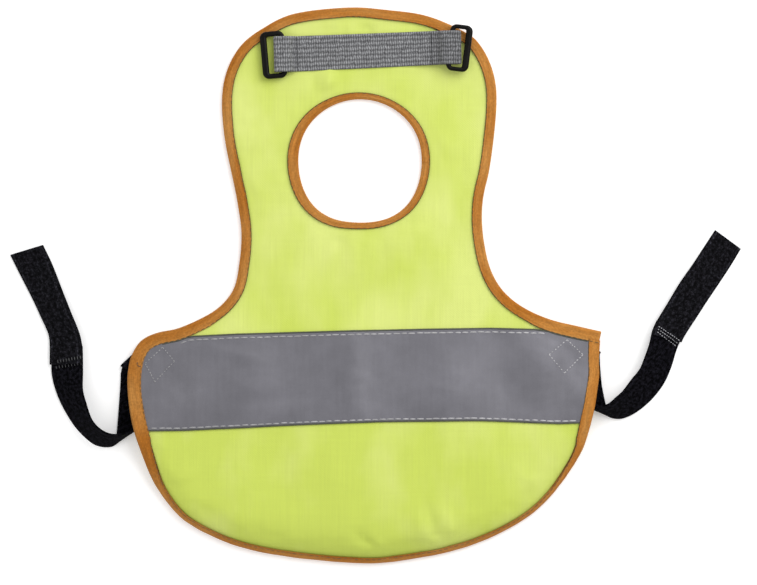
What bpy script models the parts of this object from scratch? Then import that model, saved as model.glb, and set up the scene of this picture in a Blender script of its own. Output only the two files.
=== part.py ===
"""A hen's safety vest, laid flat on a surface with its two wing straps spread out.

Sizes are in millimetres: +X to the right, +Y from the skirt to the neck, +Z up from the surface.
Every piece follows one height field, the underside of the cloth, from the floor upwards.
"""

import math

import bmesh
import bpy
import numpy as np
from mathutils import Vector
from mathutils.geometry import delaunay_2d_cdt

METRES = 0.001

# Thicknesses and clearances
PANEL_WALL = 1.0
BINDING_WALL = 1.0
BAND_WALL = 1.0
STRAP_WALL = 1.2
SEAM_GAP = 0.3
BINDING_FOLD = BINDING_WALL + SEAM_GAP
BINDING_BEVEL = 0.65

# Height of the cloth's underside: low on the yoke, where the binding lies on the surface, and
# raised under the skirt, which is held up by its curled hem and by the straps.
YOKE_HEIGHT = 2.0
SKIRT_HEIGHT = 9.5
RISE_STARTS_Y = 5.0
RISE_ENDS_Y = -85.0

# Outer edge of the vest, from the right shoulder corner down round the skirt and back.
# lift: height of the cloth's underside at the edge. reach: how far in the cloth curls.
# tape: finished width of the binding.
EDGE_COLUMNS = ("x", "y", "lift", "reach", "tape")
EDGE_ROWS = (
    (124.0, -25.0, 4.9, 14, 6.3),
    (122.6, -38.0, 4.9, 14, 5.7),
    (122.5, -50.0, 5.8, 16, 5.7),
    (121.0, -61.0, 10.2, 18, 5.7),
    (119.5, -69.0, 12.0, 18, 5.7),
    (115.6, -83.5, 6.5, 18, 5.8),
    (108.4, -97.0, 2.0, 16, 5.8),
    (88.2, -121.5, 0.5, 13, 5.8),
    (55.6, -139.9, 0.5, 14, 5.8),
    (13.2, -149.8, 0.5, 16, 5.8),
    (-9.5, -151.0, 0.5, 16, 5.8),
    (-61.2, -145.3, 0.5, 16, 5.8),
    (-84.8, -138.3, 0.6, 16, 5.8),
    (-104.9, -127.2, 0.9, 16, 6.0),
    (-117.8, -112.2, 2.2, 16, 6.4),
    (-126.7, -94.8, 6.0, 18, 7.0),
    (-132.7, -78.0, 11.4, 20, 7.3),
    (-135.6, -60.0, 7.0, 18, 7.3),
    (-135.5, -46.0, 5.0, 14, 7.3),
    (-133.3, -37.0, 4.9, 14, 7.0),
    (-128.5, -30.0, 4.9, 14, 6.8),
    (-121.0, -26.0, 4.9, 14, 6.4),
    (-110.0, -23.7, 4.3, 14, 6.2),
    (-97.0, -18.5, 3.0, 12, 6.0),
    (-85.6, -11.6, 1.8, 12, 6.0),
    (-78.0, -2.0, 1.4, 10, 5.8),
    (-74.8, 12.0, 1.3, 10, 5.8),
    (-73.6, 29.0, 1.3, 10, 5.8),
    (-75.8, 46.0, 1.3, 10, 5.8),
    (-82.9, 82.5, 1.3, 10, 5.8),
    (-84.3, 100.0, 1.3, 10, 5.8),
    (-83.2, 112.0, 1.3, 10, 5.8),
    (-79.3, 123.6, 1.3, 10, 5.8),
    (-72.0, 134.0, 1.3, 10, 5.8),
    (-60.6, 142.2, 1.3, 10, 5.8),
    (-46.8, 148.9, 1.3, 10, 5.8),
    (-13.5, 152.9, 1.3, 10, 5.8),
    (5.8, 151.6, 1.3, 10, 5.8),
    (27.0, 148.6, 1.3, 10, 5.8),
    (42.0, 142.9, 1.3, 10, 5.8),
    (54.6, 135.6, 1.3, 10, 5.8),
    (62.4, 123.5, 1.3, 10, 5.8),
    (65.9, 111.0, 1.3, 10, 5.8),
    (66.3, 97.0, 1.3, 10, 5.8),
    (62.5, 64.0, 1.3, 10, 5.8),
    (59.2, 49.0, 1.3, 10, 5.8),
    (58.4, 37.0, 1.3, 10, 5.8),
    (59.8, 22.5, 1.3, 10, 5.8),
    (63.6, 8.0, 1.4, 10, 5.8),
    (70.3, -3.0, 1.6, 12, 6.0),
    (80.6, -11.5, 2.2, 12, 6.2),
    (95.0, -18.1, 3.8, 12, 6.4),
    (109.6, -21.7, 4.9, 14, 6.6),
    (124.0, -25.0, 4.9, 14, 6.3),
)
LIFT, REACH, TAPE = (EDGE_COLUMNS.index(name) for name in ("lift", "reach", "tape"))
FINE_STEP = 1.0
LONGEST_STEP = 8.0
SHARPEST_STEP = math.radians(11)
# Round the right shoulder corner the panel's rows close up into a mitre over this length, and the
# side's binding starts this many fine steps below the corner, under the shoulder's binding.
CORNER_BLEND = 22.0
SIDE_TAPE_START = 7
# Distances in from the edge, along the cloth, of the panel's rows of points inside the binding.
CURL_ROWS = (10.0, 14.0, 19.0)

# Neck hole: a circle, a little squared towards the skirt.
NECK_CENTRE = (-8.5, 68.2)
NECK_RADIUS = 34.4
NECK_SQUARENESS = 0.45
NECK_LIFT = 1.3
NECK_REACH = 9.0
NECK_STATIONS = 40

# Reflective band: its two long edges, where they cross the vest.
BAND_TOP = ((-135.0, -30.0), (-101.0, -27.6), (-77.0, -26.5), (-30.0, -25.1), (30.0, -23.7),
            (63.0, -23.2), (93.0, -24.1), (125.0, -26.0))
BAND_BOTTOM = ((-135.0, -79.9), (-105.0, -79.3), (-77.0, -78.1), (-49.0, -76.7), (-25.0, -75.7),
               (0.0, -74.8), (30.0, -74.4), (58.0, -74.2), (79.0, -74.9), (100.0, -75.7),
               (125.0, -74.7))
# Where each of them meets the side bindings: nearest and farthest x on either side, highest y.
TOP_CROSSING = (80, 112, -15)
LOW_CROSSING = (105, 140, -60)

# Soft folds in the cloth, each a ridge.
# x, y, heading in degrees, half length, half width, height
FOLD_ROWS = (
    (-69.0, 80.0, 15, 12, 6, 1.3),
    (-68.0, 62.0, -20, 9, 6, 0.8),
    (44.0, 74.0, 160, 10, 6, 0.9),
    (-12.0, 19.0, 95, 13, 5, 1.5),
    (12.0, 18.0, 78, 13, 5, 1.3),
    (-45.0, 6.0, 60, 20, 8, 1.2),
    (38.0, 2.0, 118, 20, 8, 1.2),
    (-12.0, 145.0, 80, 5, 5, 0.8),
    (-27.0, 111.0, 95, 6, 6, 0.7),
    (-14.0, -50.0, 89, 30, 9, 1.6),
    (91.0, -48.0, 92, 28, 9, 1.3),
    (-72.0, -52.0, 86, 30, 11, 1.2),
    (38.0, -58.0, 94, 26, 11, 1.0),
    (-108.0, -66.0, -42, 16, 7, 1.2),
    (-70.0, -112.0, 68, 22, 10, 1.6),
    (-20.0, -108.0, 84, 26, 11, 1.4),
    (62.0, -104.0, 118, 24, 11, 1.6),
    (31.0, -135.0, 100, 13, 5, 2.2),
    (-1.0, -147.0, 86, 8, 5, 1.4),
    (-98.0, -118.0, 48, 12, 7, 1.4),
)
# Spacing of the cloth's points: along a fold, on the open grid, and the closest that two may lie.
FOLD_POINT_STEP = 6.0
GRID_STEP = 11.0
GRID_CLOSEST = 6.0
CLOSEST_POINTS = 4.5
GRID_REACH_X = 140
GRID_REACH_Y = 155

# Webbing strip across the yoke: plan of its middle line, from the left fold to the right one.
WEBBING_LINE = ((-60.0, 126.9), (-44.0, 127.4), (-6.0, 129.0), (31.0, 130.5), (50.0, 130.9))
WEBBING_HALF_LEFT = 9.8
WEBBING_HALF_RIGHT = 9.2
WEBBING_LEFT_EDGE = -55.9
WEBBING_RIGHT_EDGE = 47.1
WEBBING_LEFT_END = -43.7
WEBBING_RIGHT_END = 31.1
# The right end is lifted over the edge binding, by this much from this far along.
WEBBING_RIGHT_RISE = 1.5
WEBBING_RISE_FROM = 16.0
WEBBING_RISE_TO = 30.0
WEBBING_STEP = 7.0
# Past each ring's bar the tab slopes down to its stitching between these two distances.
TAB_SLOPE_LEFT = (1.3, 4.2)
TAB_SLOPE_RIGHT = (2.2, 5.4)
FOLD_STEPS = 6

# Rings: rectangular loops of round bar, lying out from the webbing's folds.
RING_BAR = 2.8
RING_LENGTH = 26.0
RING_WIDTH = 12.5
RING_CORNER = 3.6
RING_CORNER_STEPS = 5
# name, middle of the inner bar, heading away from it in degrees, rise over the binding
RING_ROWS = (
    ("ring_left", -50.6, 127.2, 185, 0.0),
    ("ring_right", 41.2, 131.0, -7, WEBBING_RIGHT_RISE),
)

# Wing straps. Each row is one straight line across the strap, from its outer edge to its inner
# edge, so the rows show it turn from flat to standing on its outer edge and back.
# outer x, y, z, inner x, y, z
ELASTIC_LEFT = (
    (-140.4, -56.0, 0.7, -121.8, -47.0, 0.7),
    (-141.2, -67.0, 0.7, -122.0, -60.0, 0.9),
    (-141.8, -75.0, 0.8, -122.4, -68.5, 1.5),
    (-142.3, -81.0, 0.9, -123.8, -73.5, 2.6),
    (-142.8, -84.8, 1.0, -127.0, -76.5, 4.6),
    (-143.6, -87.0, 1.0, -131.5, -78.7, 7.5),
    (-145.2, -88.2, 1.0, -136.2, -80.4, 11.0),
    (-148.5, -88.5, 1.0, -141.8, -81.1, 14.4),
    (-154.3, -87.2, 1.0, -147.4, -79.9, 15.6),
    (-163.6, -79.2, 0.9, -154.3, -74.0, 15.2),
    (-170.8, -68.5, 0.8, -158.2, -64.0, 13.3),
    (-175.5, -58.3, 0.8, -160.2, -56.4, 10.6),
    (-178.0, -48.5, 0.7, -160.3, -48.0, 7.8),
    (-178.2, -41.0, 0.7, -160.4, -40.0, 6.6),
    (-178.2, -35.5, 0.7, -160.6, -33.0, 6.0),
)
ELASTIC_RIGHT = (
    (124.4, -54.0, 0.7, 105.6, -45.5, 0.7),
    (125.5, -60.0, 0.7, 106.8, -55.0, 0.8),
    (126.5, -64.5, 0.8, 108.4, -60.4, 1.5),
    (127.2, -67.8, 0.9, 110.3, -63.6, 3.2),
    (128.0, -70.3, 1.0, 113.8, -65.6, 5.2),
    (129.2, -71.9, 1.0, 118.0, -66.5, 6.8),
    (131.2, -72.7, 1.0, 122.0, -66.3, 10.0),
    (134.9, -72.9, 1.0, 126.9, -64.6, 14.4),
    (140.5, -71.0, 0.9, 131.2, -61.0, 14.6),
    (146.6, -67.0, 0.8, 135.0, -57.7, 13.0),
    (153.2, -60.8, 0.8, 140.2, -51.0, 11.5),
    (159.0, -52.8, 0.8, 144.7, -45.4, 10.0),
    (162.8, -44.0, 0.7, 147.7, -38.2, 9.3),
    (165.3, -35.8, 0.7, 150.0, -31.6, 8.8),
    (168.3, -28.6, 0.7, 151.8, -24.2, 7.4),
    (171.3, -23.7, 0.7, 154.3, -18.7, 6.4),
)
TAPE_LEFT = (
    (-179.6, -27.5, 1.4, -162.3, -26.0, 5.8),
    (-184.3, -16.5, 0.9, -167.2, -14.0, 4.6),
    (-188.4, -7.7, 0.7, -171.6, -3.2, 3.0),
    (-196.2, 7.6, 0.6, -178.2, 13.1, 0.6),
    (-200.9, 17.1, 0.6, -182.8, 22.6, 0.6),
)
TAPE_RIGHT = (
    (177.4, -16.0, 1.3, 161.4, -7.4, 5.6),
    (181.8, -9.2, 0.9, 166.9, 1.6, 4.4),
    (188.4, 0.6, 0.7, 174.0, 11.6, 2.8),
    (195.2, 10.9, 0.6, 180.8, 21.8, 0.6),
    (200.9, 20.4, 0.6, 186.7, 30.8, 0.6),
)
# Where each strap folds flat to turn down, and the end that is sewn under the panel.
# outer x, y, inner x, y
FOLD_LEFT = (-140.3, -45.4, -122.0, -28.4)
ROOT_LEFT = (-108.0, -46.4, -108.0, -28.8)
FOLD_RIGHT = (123.4, -37.4, 104.8, -26.8)
ROOT_RIGHT = (102.0, -49.8, 92.7, -33.8)
STRAP_FOLD_STEPS = 4
STRAP_STEP = 2.6
FLOOR_CLEARANCE = 0.1
# A sewn end has lines at these shares of the way out to its fold. It lies this far under the
# panel's seam gap, and dips under the edge binding between two distances in from the tape.
ROOT_SHARES = (0.0, 0.3, 0.6)
ROOT_CLEARANCE = 0.15
ROOT_DIPS_FROM = 4.5
ROOT_DIPS_TO = 1.5
# How far each fastening tape laps its elastic, and how much wider it is on each side.
TAPE_LAP = 9.0
TAPE_SPREAD = 0.4


def smooth_step(share):
    """Ease from 0 to 1."""
    share = np.clip(share, 0, 1)
    return share * share * (3 - 2 * share)


def curve_through(rows, spacing, measured):
    """Points about `spacing` apart on a smooth curve through the rows.

    Every column is carried along, and the first `measured` of them give the distance.
    """
    rows = np.asarray(rows, float)
    knots = np.vstack([2 * rows[0] - rows[1], rows, 2 * rows[-1] - rows[-2]])
    pieces = []
    for a, b, c, d in zip(knots, knots[1:], knots[2:], knots[3:]):
        sides = [np.linalg.norm((q - p)[:measured]) for p, q in ((a, b), (b, c), (c, d))]
        count = max(1, round(sides[1] / spacing))
        times = np.cumsum([0.0] + [max(side, 1e-6) ** 0.5 for side in sides])
        now = np.linspace(times[1], times[2], count, endpoint=False)[:, None]

        def between(first, second, start, end):
            return (first * (end - now) + second * (now - start)) / (end - start)

        ab = between(a, b, times[0], times[1])
        bc = between(b, c, times[1], times[2])
        cd = between(c, d, times[2], times[3])
        abc = between(ab, bc, times[0], times[2])
        bcd = between(bc, cd, times[1], times[3])
        pieces.append(between(abc, bcd, times[1], times[2]))
    return np.vstack(pieces + [rows[-1:]])


def nearest_on(curve, points):
    """Plan distance from each point to a curve, and the curve's row at the nearest place."""
    start = curve[:-1]
    step = np.diff(curve, axis=0)
    offset = points[:, None, :] - start[None, :, :2]
    share = (offset * step[None, :, :2]).sum(2) / (step[:, :2] ** 2).sum(1)
    share = np.clip(share, 0, 1)
    miss = offset - share[..., None] * step[None, :, :2]
    squared = (miss ** 2).sum(2)
    best = squared.argmin(1)
    order = np.arange(len(points))
    row = start[best] + share[order, best][:, None] * step[best]
    return np.sqrt(squared[order, best]), row


def inside(loop, points):
    """True for each point that lies inside a closed plan loop."""
    x, y = points[:, 0][:, None], points[:, 1][:, None]
    ax, ay = loop[:, 0], loop[:, 1]
    bx, by = np.roll(ax, -1), np.roll(ay, -1)
    crosses = (ay > y) != (by > y)
    height = np.where(by == ay, 1.0, by - ay)
    left_of = x < ax + (y - ay) * (bx - ax) / height
    return (crosses & left_of).sum(1) % 2 == 1


def neck_radius(angle):
    """Radius of the neck hole's edge at an angle from +X."""
    return NECK_RADIUS - NECK_SQUARENESS * (1 - np.sin(angle)) * np.cos(4 * angle)


def neck_tape(angle):
    """Finished width of the neck binding as it shows from above."""
    return 4.0 + 1.5 * np.cos(angle) ** 2 - 0.7 * np.cos(angle)


def neck_point(angle, distance=0.0):
    """Plan points at a distance outside the neck hole's edge."""
    radius = neck_radius(angle) + distance
    return np.column_stack([NECK_CENTRE[0] + radius * np.cos(angle),
                            NECK_CENTRE[1] + radius * np.sin(angle)])


EDGE_FINE = curve_through(EDGE_ROWS, FINE_STEP, 2)
EDGE_COARSE = EDGE_FINE[::3]


def cloth_height(points):
    """Height of the panel's underside above the surface."""
    points = np.atleast_2d(points)
    rise = smooth_step((RISE_STARTS_Y - points[:, 1]) / (RISE_STARTS_Y - RISE_ENDS_Y))
    height = YOKE_HEIGHT + (SKIRT_HEIGHT - YOKE_HEIGHT) * rise
    for x, y, heading, length, width, ridge in FOLD_ROWS:
        turn = math.radians(heading)
        dx, dy = points[:, 0] - x, points[:, 1] - y
        along = (dx * math.cos(turn) + dy * math.sin(turn)) / length
        across = (dy * math.cos(turn) - dx * math.sin(turn)) / width
        height = height + ridge * np.exp(-along ** 2 - across ** 2)
    distance, row = nearest_on(EDGE_COARSE, points)
    curl = np.clip(1 - distance / row[:, REACH], 0, 1) ** 3
    height = height + (row[:, LIFT] - height) * curl
    offset = points - np.array(NECK_CENTRE)
    angle = np.arctan2(offset[:, 1], offset[:, 0])
    beyond = np.hypot(offset[:, 0], offset[:, 1]) - neck_radius(angle)
    curl = np.clip(1 - beyond / NECK_REACH, 0, 1) ** 2
    return height + (NECK_LIFT - height) * curl


def cloth_normal(points, step=0.4):
    """Upward unit normals of the cloth."""
    points = np.atleast_2d(points)
    slopes = []
    for shift in ((step, 0), (0, step)):
        rise = cloth_height(points + shift) - cloth_height(points - shift)
        slopes.append(rise / (2 * step))
    normal = np.column_stack([-slopes[0], -slopes[1], np.ones(len(points))])
    return normal / np.linalg.norm(normal, axis=1)[:, None]


def lifted(points, heights, normals_at=None):
    """Plan points set on the cloth's underside, then moved out along its normals."""
    normals = cloth_normal(points if normals_at is None else normals_at)
    base = np.column_stack([points, cloth_height(points)])
    return base + normals * np.reshape(heights, (-1, 1))


def edge_stations():
    """Rows of the outer edge, closer together where it turns, with the way in from each row."""
    steps = np.diff(EDGE_FINE[:, :2], axis=0)
    length = np.hypot(steps[:, 0], steps[:, 1])
    heading = np.unwrap(np.arctan2(steps[:, 1], steps[:, 0]))
    bend = np.convolve(np.abs(np.diff(heading, prepend=heading[0])), np.ones(5) / 5, mode="same")
    effort = np.append(0, np.cumsum(np.maximum(length / LONGEST_STEP, bend / SHARPEST_STEP)))
    marks = np.linspace(0, effort[-1], math.ceil(effort[-1]) + 1)
    chosen = np.round(np.interp(marks, effort, np.arange(len(effort)))).astype(int)
    tangent = np.gradient(EDGE_FINE[:, :2], axis=0)
    tangent /= np.linalg.norm(tangent, axis=1)[:, None]
    inward = np.column_stack([tangent[:, 1], -tangent[:, 0]])
    ring = EDGE_FINE[:, :2] + inward * (EDGE_FINE[:, TAPE] + SEAM_GAP)[:, None]
    crossings = []
    for line, (nearest, farthest, below) in ((BAND_TOP, TOP_CROSSING), (BAND_BOTTOM, LOW_CROSSING)):
        line = np.array(line)
        miss = np.abs(ring[:, 1] - np.interp(ring[:, 0], line[:, 0], line[:, 1]))
        for side in (-1, 1):
            reach = side * ring[:, 0]
            near = (reach > nearest) & (reach < farthest) & (ring[:, 1] < below)
            crossing = np.where(near, miss, np.inf).argmin()
            chosen[np.abs(chosen - crossing).argmin()] = crossing
            crossings.append(crossing)
    chosen[np.abs(chosen - SIDE_TAPE_START).argmin()] = SIDE_TAPE_START
    chosen = np.unique(chosen)
    walked = np.append(0, np.cumsum(length))
    return {
        "index": chosen,
        "rows": EDGE_FINE[chosen],
        "inward": inward[chosen],
        "tangent": tangent[chosen],
        "walked": walked[chosen],
        "total": walked[-1],
        "crossings": [int(np.where(chosen == crossing)[0][0]) for crossing in crossings],
    }


def march_in(plan, inward, arcs):
    """Plan places at given distances in from each edge point, measured along the cloth."""
    steps = np.arange(0.0, 26.0, 0.5)
    places = plan[:, None, :] + inward[:, None, :] * steps[None, :, None]
    heights = cloth_height(places.reshape(-1, 2)).reshape(len(plan), len(steps))
    walked = np.hypot(np.diff(heights, axis=1), np.diff(steps)[None, :]).cumsum(axis=1)
    walked = np.column_stack([np.zeros(len(plan)), walked])
    flat = np.array([np.interp(arc, walk, steps) for arc, walk in zip(arcs, walked)])
    return plan[:, None, :] + inward[:, None, :] * flat[..., None]


def mitred(stations, places):
    """Close the places up along the edge near the corner, so that its two sides share a mitre."""
    before, after = stations["tangent"][-1], stations["tangent"][0]
    corner = math.pi - math.acos(float(np.clip(before @ after, -1, 1)))
    lean = 1 / math.tan(corner / 2)
    depth = np.linalg.norm(places - stations["rows"][:, None, :2], axis=2)
    start = np.clip(1 - stations["walked"] / CORNER_BLEND, 0, 1)
    end = np.clip(1 - (stations["total"] - stations["walked"]) / CORNER_BLEND, 0, 1)
    shift = (start - end)[:, None] * depth * lean
    return places + stations["tangent"][:, None, :] * shift[..., None]


def add_solid(name, points, faces, finish):
    """A closed solid from points in millimetres."""
    mesh = bpy.data.meshes.new(name)
    shape = bmesh.new()
    corners = [shape.verts.new(Vector(point) * METRES) for point in np.asarray(points).tolist()]
    for face in faces:
        shape.faces.new([corners[index] for index in face])
    bmesh.ops.recalc_face_normals(shape, faces=shape.faces)
    bmesh.ops.triangulate(shape, faces=shape.faces)
    shape.to_mesh(mesh)
    shape.free()
    mesh.shade_smooth()
    mesh.set_sharp_from_angle(angle=math.radians(50))
    mesh.materials.append(finish)
    solid = bpy.data.objects.new(name, mesh)
    VEST.objects.link(solid)
    return solid


def loft(name, sections, finish, closed=False):
    """A solid through like sections, joined end to end when it is closed."""
    count, size = sections.shape[:2]
    faces = []
    for i in range(count if closed else count - 1):
        here, there = i * size, (i + 1) % count * size
        for k in range(size):
            after = (k + 1) % size
            faces.append((here + k, here + after, there + after, there + k))
    if not closed:
        faces.append(tuple(range(size)))
        faces.append(tuple(range((count - 1) * size, count * size)))
    return add_solid(name, sections.reshape(-1, 3), faces, finish)


def binding_sections(width, place):
    """Sections of tape folded over an edge; place(arc, height) gives all stations' points."""
    outer_top = PANEL_WALL + BINDING_FOLD
    inner_top = PANEL_WALL + SEAM_GAP
    bevel = BINDING_BEVEL
    section = (
        (width, -SEAM_GAP), (width, -BINDING_FOLD), (width / 2, -BINDING_FOLD),
        (bevel, -BINDING_FOLD), (0.0, bevel - BINDING_FOLD), (0.0, outer_top - bevel),
        (bevel, outer_top), (width / 2, outer_top), (width, outer_top), (width, inner_top),
        (width / 2, inner_top), (BINDING_WALL, inner_top), (BINDING_WALL, -SEAM_GAP),
        (width / 2, -SEAM_GAP),
    )
    return np.stack([place(arc, height) for arc, height in section], axis=1)


def build_edge_binding(stations, finish):
    keep = stations["index"] >= SIDE_TAPE_START
    rows, inward = stations["rows"][keep], stations["inward"][keep]

    def place(arc, height):
        arc = np.broadcast_to(arc, len(rows))
        arcs = np.column_stack([arc, np.maximum(arc, BINDING_FOLD)])
        places = march_in(rows[:, :2], inward, arcs)
        return lifted(places[:, 0], np.full(len(rows), height), normals_at=places[:, 1])

    loft("edge_binding", binding_sections(rows[:, TAPE], place), finish)


def build_neck_binding(finish):
    angle = np.linspace(0, 2 * math.pi, NECK_STATIONS, endpoint=False)

    def place(distance, height):
        distance = np.broadcast_to(distance, len(angle))
        within = neck_point(angle, np.maximum(distance, BINDING_FOLD))
        return lifted(neck_point(angle, distance), np.full(len(angle), height), normals_at=within)

    loft("neck_binding", binding_sections(neck_tape(angle), place), finish, closed=True)


def band_line(rows, start, end):
    """Points along one edge of the band, between the two places where it meets the binding."""
    line = curve_through([row for row in rows if start[0] + 4 < row[0] < end[0] - 4], GRID_STEP, 2)
    return np.vstack([start, line, end])


def spaced(taken, wanted, closest):
    """Those of the wanted points that keep clear of the points already taken and of each other."""
    kept = list(taken)
    for point in wanted:
        gaps = np.hypot(*(np.array(kept) - point).T)
        if gaps.min() > closest:
            kept.append(point)
    return np.array(kept[len(taken):])


def cloth_net(stations):
    """Triangles over the panel's plan, and the loop and lines that bound the band."""
    rows = stations["rows"]
    arcs = np.column_stack([
        np.full(len(rows), BINDING_FOLD), rows[:, TAPE] / 2, rows[:, TAPE] + SEAM_GAP,
        *[np.full(len(rows), arc) for arc in CURL_ROWS],
    ])
    rings = mitred(stations, march_in(rows[:, :2], stations["inward"], arcs))
    outer, under_tape, inner = rings[:-1, 0], rings[:-1, 1], rings[:-1, 2]
    angle = np.linspace(0, 2 * math.pi, NECK_STATIONS, endpoint=False)
    neck = neck_point(angle, BINDING_FOLD)
    neck_middle = neck_point(angle, neck_tape(angle) / 2)
    neck_inner = neck_point(angle, neck_tape(angle) + SEAM_GAP)
    top_left, top_right, low_left, low_right = (inner[i] for i in stations["crossings"])
    top = band_line(BAND_TOP, top_left, top_right)
    bottom = band_line(BAND_BOTTOM, low_left, low_right)

    points, edges = [], []

    def add_line(line, closed, shared_ends=()):
        first = len(points)
        indices = list(range(first, first + len(line) - len(shared_ends)))
        points.extend(line[1:-1] if shared_ends else line)
        if shared_ends:
            indices = [shared_ends[0], *indices, shared_ends[1]]
        ends = indices[1:] + (indices[:1] if closed else [])
        edges.extend(zip(indices, ends))

    add_line(outer, closed=True)
    inner_start = len(points)
    add_line(inner, closed=True)
    crossing = [inner_start + i for i in stations["crossings"]]
    add_line(neck, closed=True)
    add_line(neck_inner, closed=True)
    add_line(top, closed=False, shared_ends=crossing[:2])
    add_line(bottom, closed=False, shared_ends=crossing[2:])
    points.extend(under_tape)
    points.extend(neck_middle)

    for x, y, heading, length, width, _ in FOLD_ROWS:
        turn = math.radians(heading)
        along = np.arange(-length, length + 0.1, FOLD_POINT_STEP)
        for side in (0, -width, width):
            line = np.column_stack([x + along * math.cos(turn) - side * math.sin(turn),
                                    y + along * math.sin(turn) + side * math.cos(turn)])
            line = line[inside(inner, line) & ~inside(neck_inner, line)]
            points.extend(spaced(points, line, CLOSEST_POINTS))
    curl = rings[:-1, 3:].transpose(1, 0, 2).reshape(-1, 2)
    curl = curl[inside(inner, curl)]
    points.extend(spaced(points, curl, CLOSEST_POINTS))
    xs, ys = np.meshgrid(np.arange(-GRID_REACH_X, GRID_REACH_X, GRID_STEP),
                         np.arange(-GRID_REACH_Y, GRID_REACH_Y, GRID_STEP))
    xs = xs + (np.arange(len(xs)) % 2)[:, None] * GRID_STEP / 2
    grid = np.column_stack([xs.ravel(), ys.ravel()])
    grid = grid[inside(inner, grid) & ~inside(neck_inner, grid)]
    points.extend(spaced(points, grid, GRID_CLOSEST))

    net = delaunay_2d_cdt([Vector(p) for p in np.array(points).tolist()], edges, [], 0, 1e-4)
    plan = np.array([tuple(p) for p in net[0]])
    triangles = np.array([face for face in net[2] if len(face) == 3])
    centres = plan[triangles].mean(axis=1)
    triangles = triangles[inside(outer, centres) & ~inside(neck, centres)]
    centres = plan[triangles].mean(axis=1)
    below = centres[:, 1] < np.interp(centres[:, 0], top[:, 0], top[:, 1])
    above = centres[:, 1] > np.interp(centres[:, 0], bottom[:, 0], bottom[:, 1])
    return plan, triangles, triangles[below & above & inside(inner, centres)]


def build_layer(name, plan, triangles, low, high, finish):
    """A wall of cloth over some of the net's triangles, between two heights off the cloth."""
    used = np.unique(triangles)
    renumber = {int(old): new for new, old in enumerate(used)}
    places = plan[used]
    points = np.vstack([lifted(places, np.full(len(used), height)) for height in (low, high)])
    faces, rim = [], {}
    for triangle in triangles.tolist():
        a, b, c = (renumber[index] for index in triangle)
        faces.append((c, b, a))
        faces.append((a + len(used), b + len(used), c + len(used)))
        for edge in ((a, b), (b, c), (c, a)):
            if edge[::-1] in rim:
                del rim[edge[::-1]]
            else:
                rim[edge] = True
    faces.extend((a, b, b + len(used), a + len(used)) for a, b in rim)
    return add_solid(name, points, faces, finish)


def ribbon_normals(rulings):
    """Unit normals of a strap's middle surface at each of its lines."""
    middle = (rulings[:, :3] + rulings[:, 3:]) / 2
    normal = np.cross(rulings[:, 3:] - rulings[:, :3], np.gradient(middle, axis=0))
    return normal / np.linalg.norm(normal, axis=1)[:, None]


def ribbon(name, rulings, finish):
    """A strap whose middle surface runs through straight lines from one edge to the other."""
    half = ribbon_normals(rulings) * STRAP_WALL / 2
    near, far = rulings[:, :3], rulings[:, 3:]
    sections = np.stack([near + half, far + half, far - half, near - half], axis=1)
    return loft(name, sections, finish)


def flat_fold(line, low, high):
    """Lines of a half turn of strap about a fold, from its upper layer down to its lower one."""
    near, far = np.array(line[:2]), np.array(line[2:])
    way = (far - near) / np.linalg.norm(far - near)
    outward = np.array([-way[1], way[0]]) if near[0] < 0 else np.array([way[1], -way[0]])
    radius, middle = (high - low) / 2, (high + low) / 2
    lines = []
    for turn in np.linspace(math.pi / 2, -math.pi / 2, STRAP_FOLD_STEPS + 1):
        shift = outward * radius * math.cos(turn)
        height = middle + radius * math.sin(turn)
        lines.append((*(near + shift), height, *(far + shift), height))
    return np.array(lines)


def strap_lines(rows, fold, root):
    """All the lines of one elastic, from its sewn end, round its fold and out to its tape."""
    floor_level = STRAP_WALL / 2 + FLOOR_CLEARANCE
    upper_level = floor_level + STRAP_WALL + SEAM_GAP
    under_cloth = SEAM_GAP + STRAP_WALL / 2 + ROOT_CLEARANCE
    sewn = []
    for share in ROOT_SHARES:
        ends = np.reshape(np.array(root) + share * (np.array(fold) - np.array(root)), (2, 2))
        edge_distance, edge_row = nearest_on(EDGE_COARSE, ends)
        past_tape = edge_distance - edge_row[:, TAPE]
        near_tape = smooth_step((ROOT_DIPS_FROM - past_tape) / (ROOT_DIPS_FROM - ROOT_DIPS_TO))
        heights = cloth_height(ends) - under_cloth - near_tape * BINDING_FOLD
        heights = np.maximum(heights, upper_level)
        sewn.append((*ends[0], heights[0], *ends[1], heights[1]))
    free = curve_through(rows, STRAP_STEP, 3)
    free[:, 2] = np.maximum(free[:, 2], floor_level)
    free[:, 5] = np.maximum(free[:, 5], floor_level)
    return np.vstack([sewn, flat_fold(fold, floor_level, upper_level), free])


def tape_lines(rows, elastic):
    """Lines of a fastening tape: laid on the end of its elastic, then on along its own rows."""
    middle = (elastic[:, :3] + elastic[:, 3:]) / 2
    to_end = np.linalg.norm(middle - middle[-1], axis=1)
    over = to_end < TAPE_LAP
    over[:len(over) // 2] = False
    normals = ribbon_normals(elastic)[over]
    normals *= np.sign(normals[:, 2:])
    lap = elastic[over] + np.tile(normals * (STRAP_WALL + SEAM_GAP), 2)
    across = lap[:, 3:] - lap[:, :3]
    across /= np.linalg.norm(across, axis=1)[:, None]
    lap = lap + np.hstack([-across, across]) * TAPE_SPREAD
    free = curve_through(np.vstack([lap[-1:], rows]), STRAP_STEP, 3)[1:]
    free[:, 2] = np.maximum(free[:, 2], STRAP_WALL / 2)
    free[:, 5] = np.maximum(free[:, 5], STRAP_WALL / 2)
    return np.vstack([lap, free])


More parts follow.
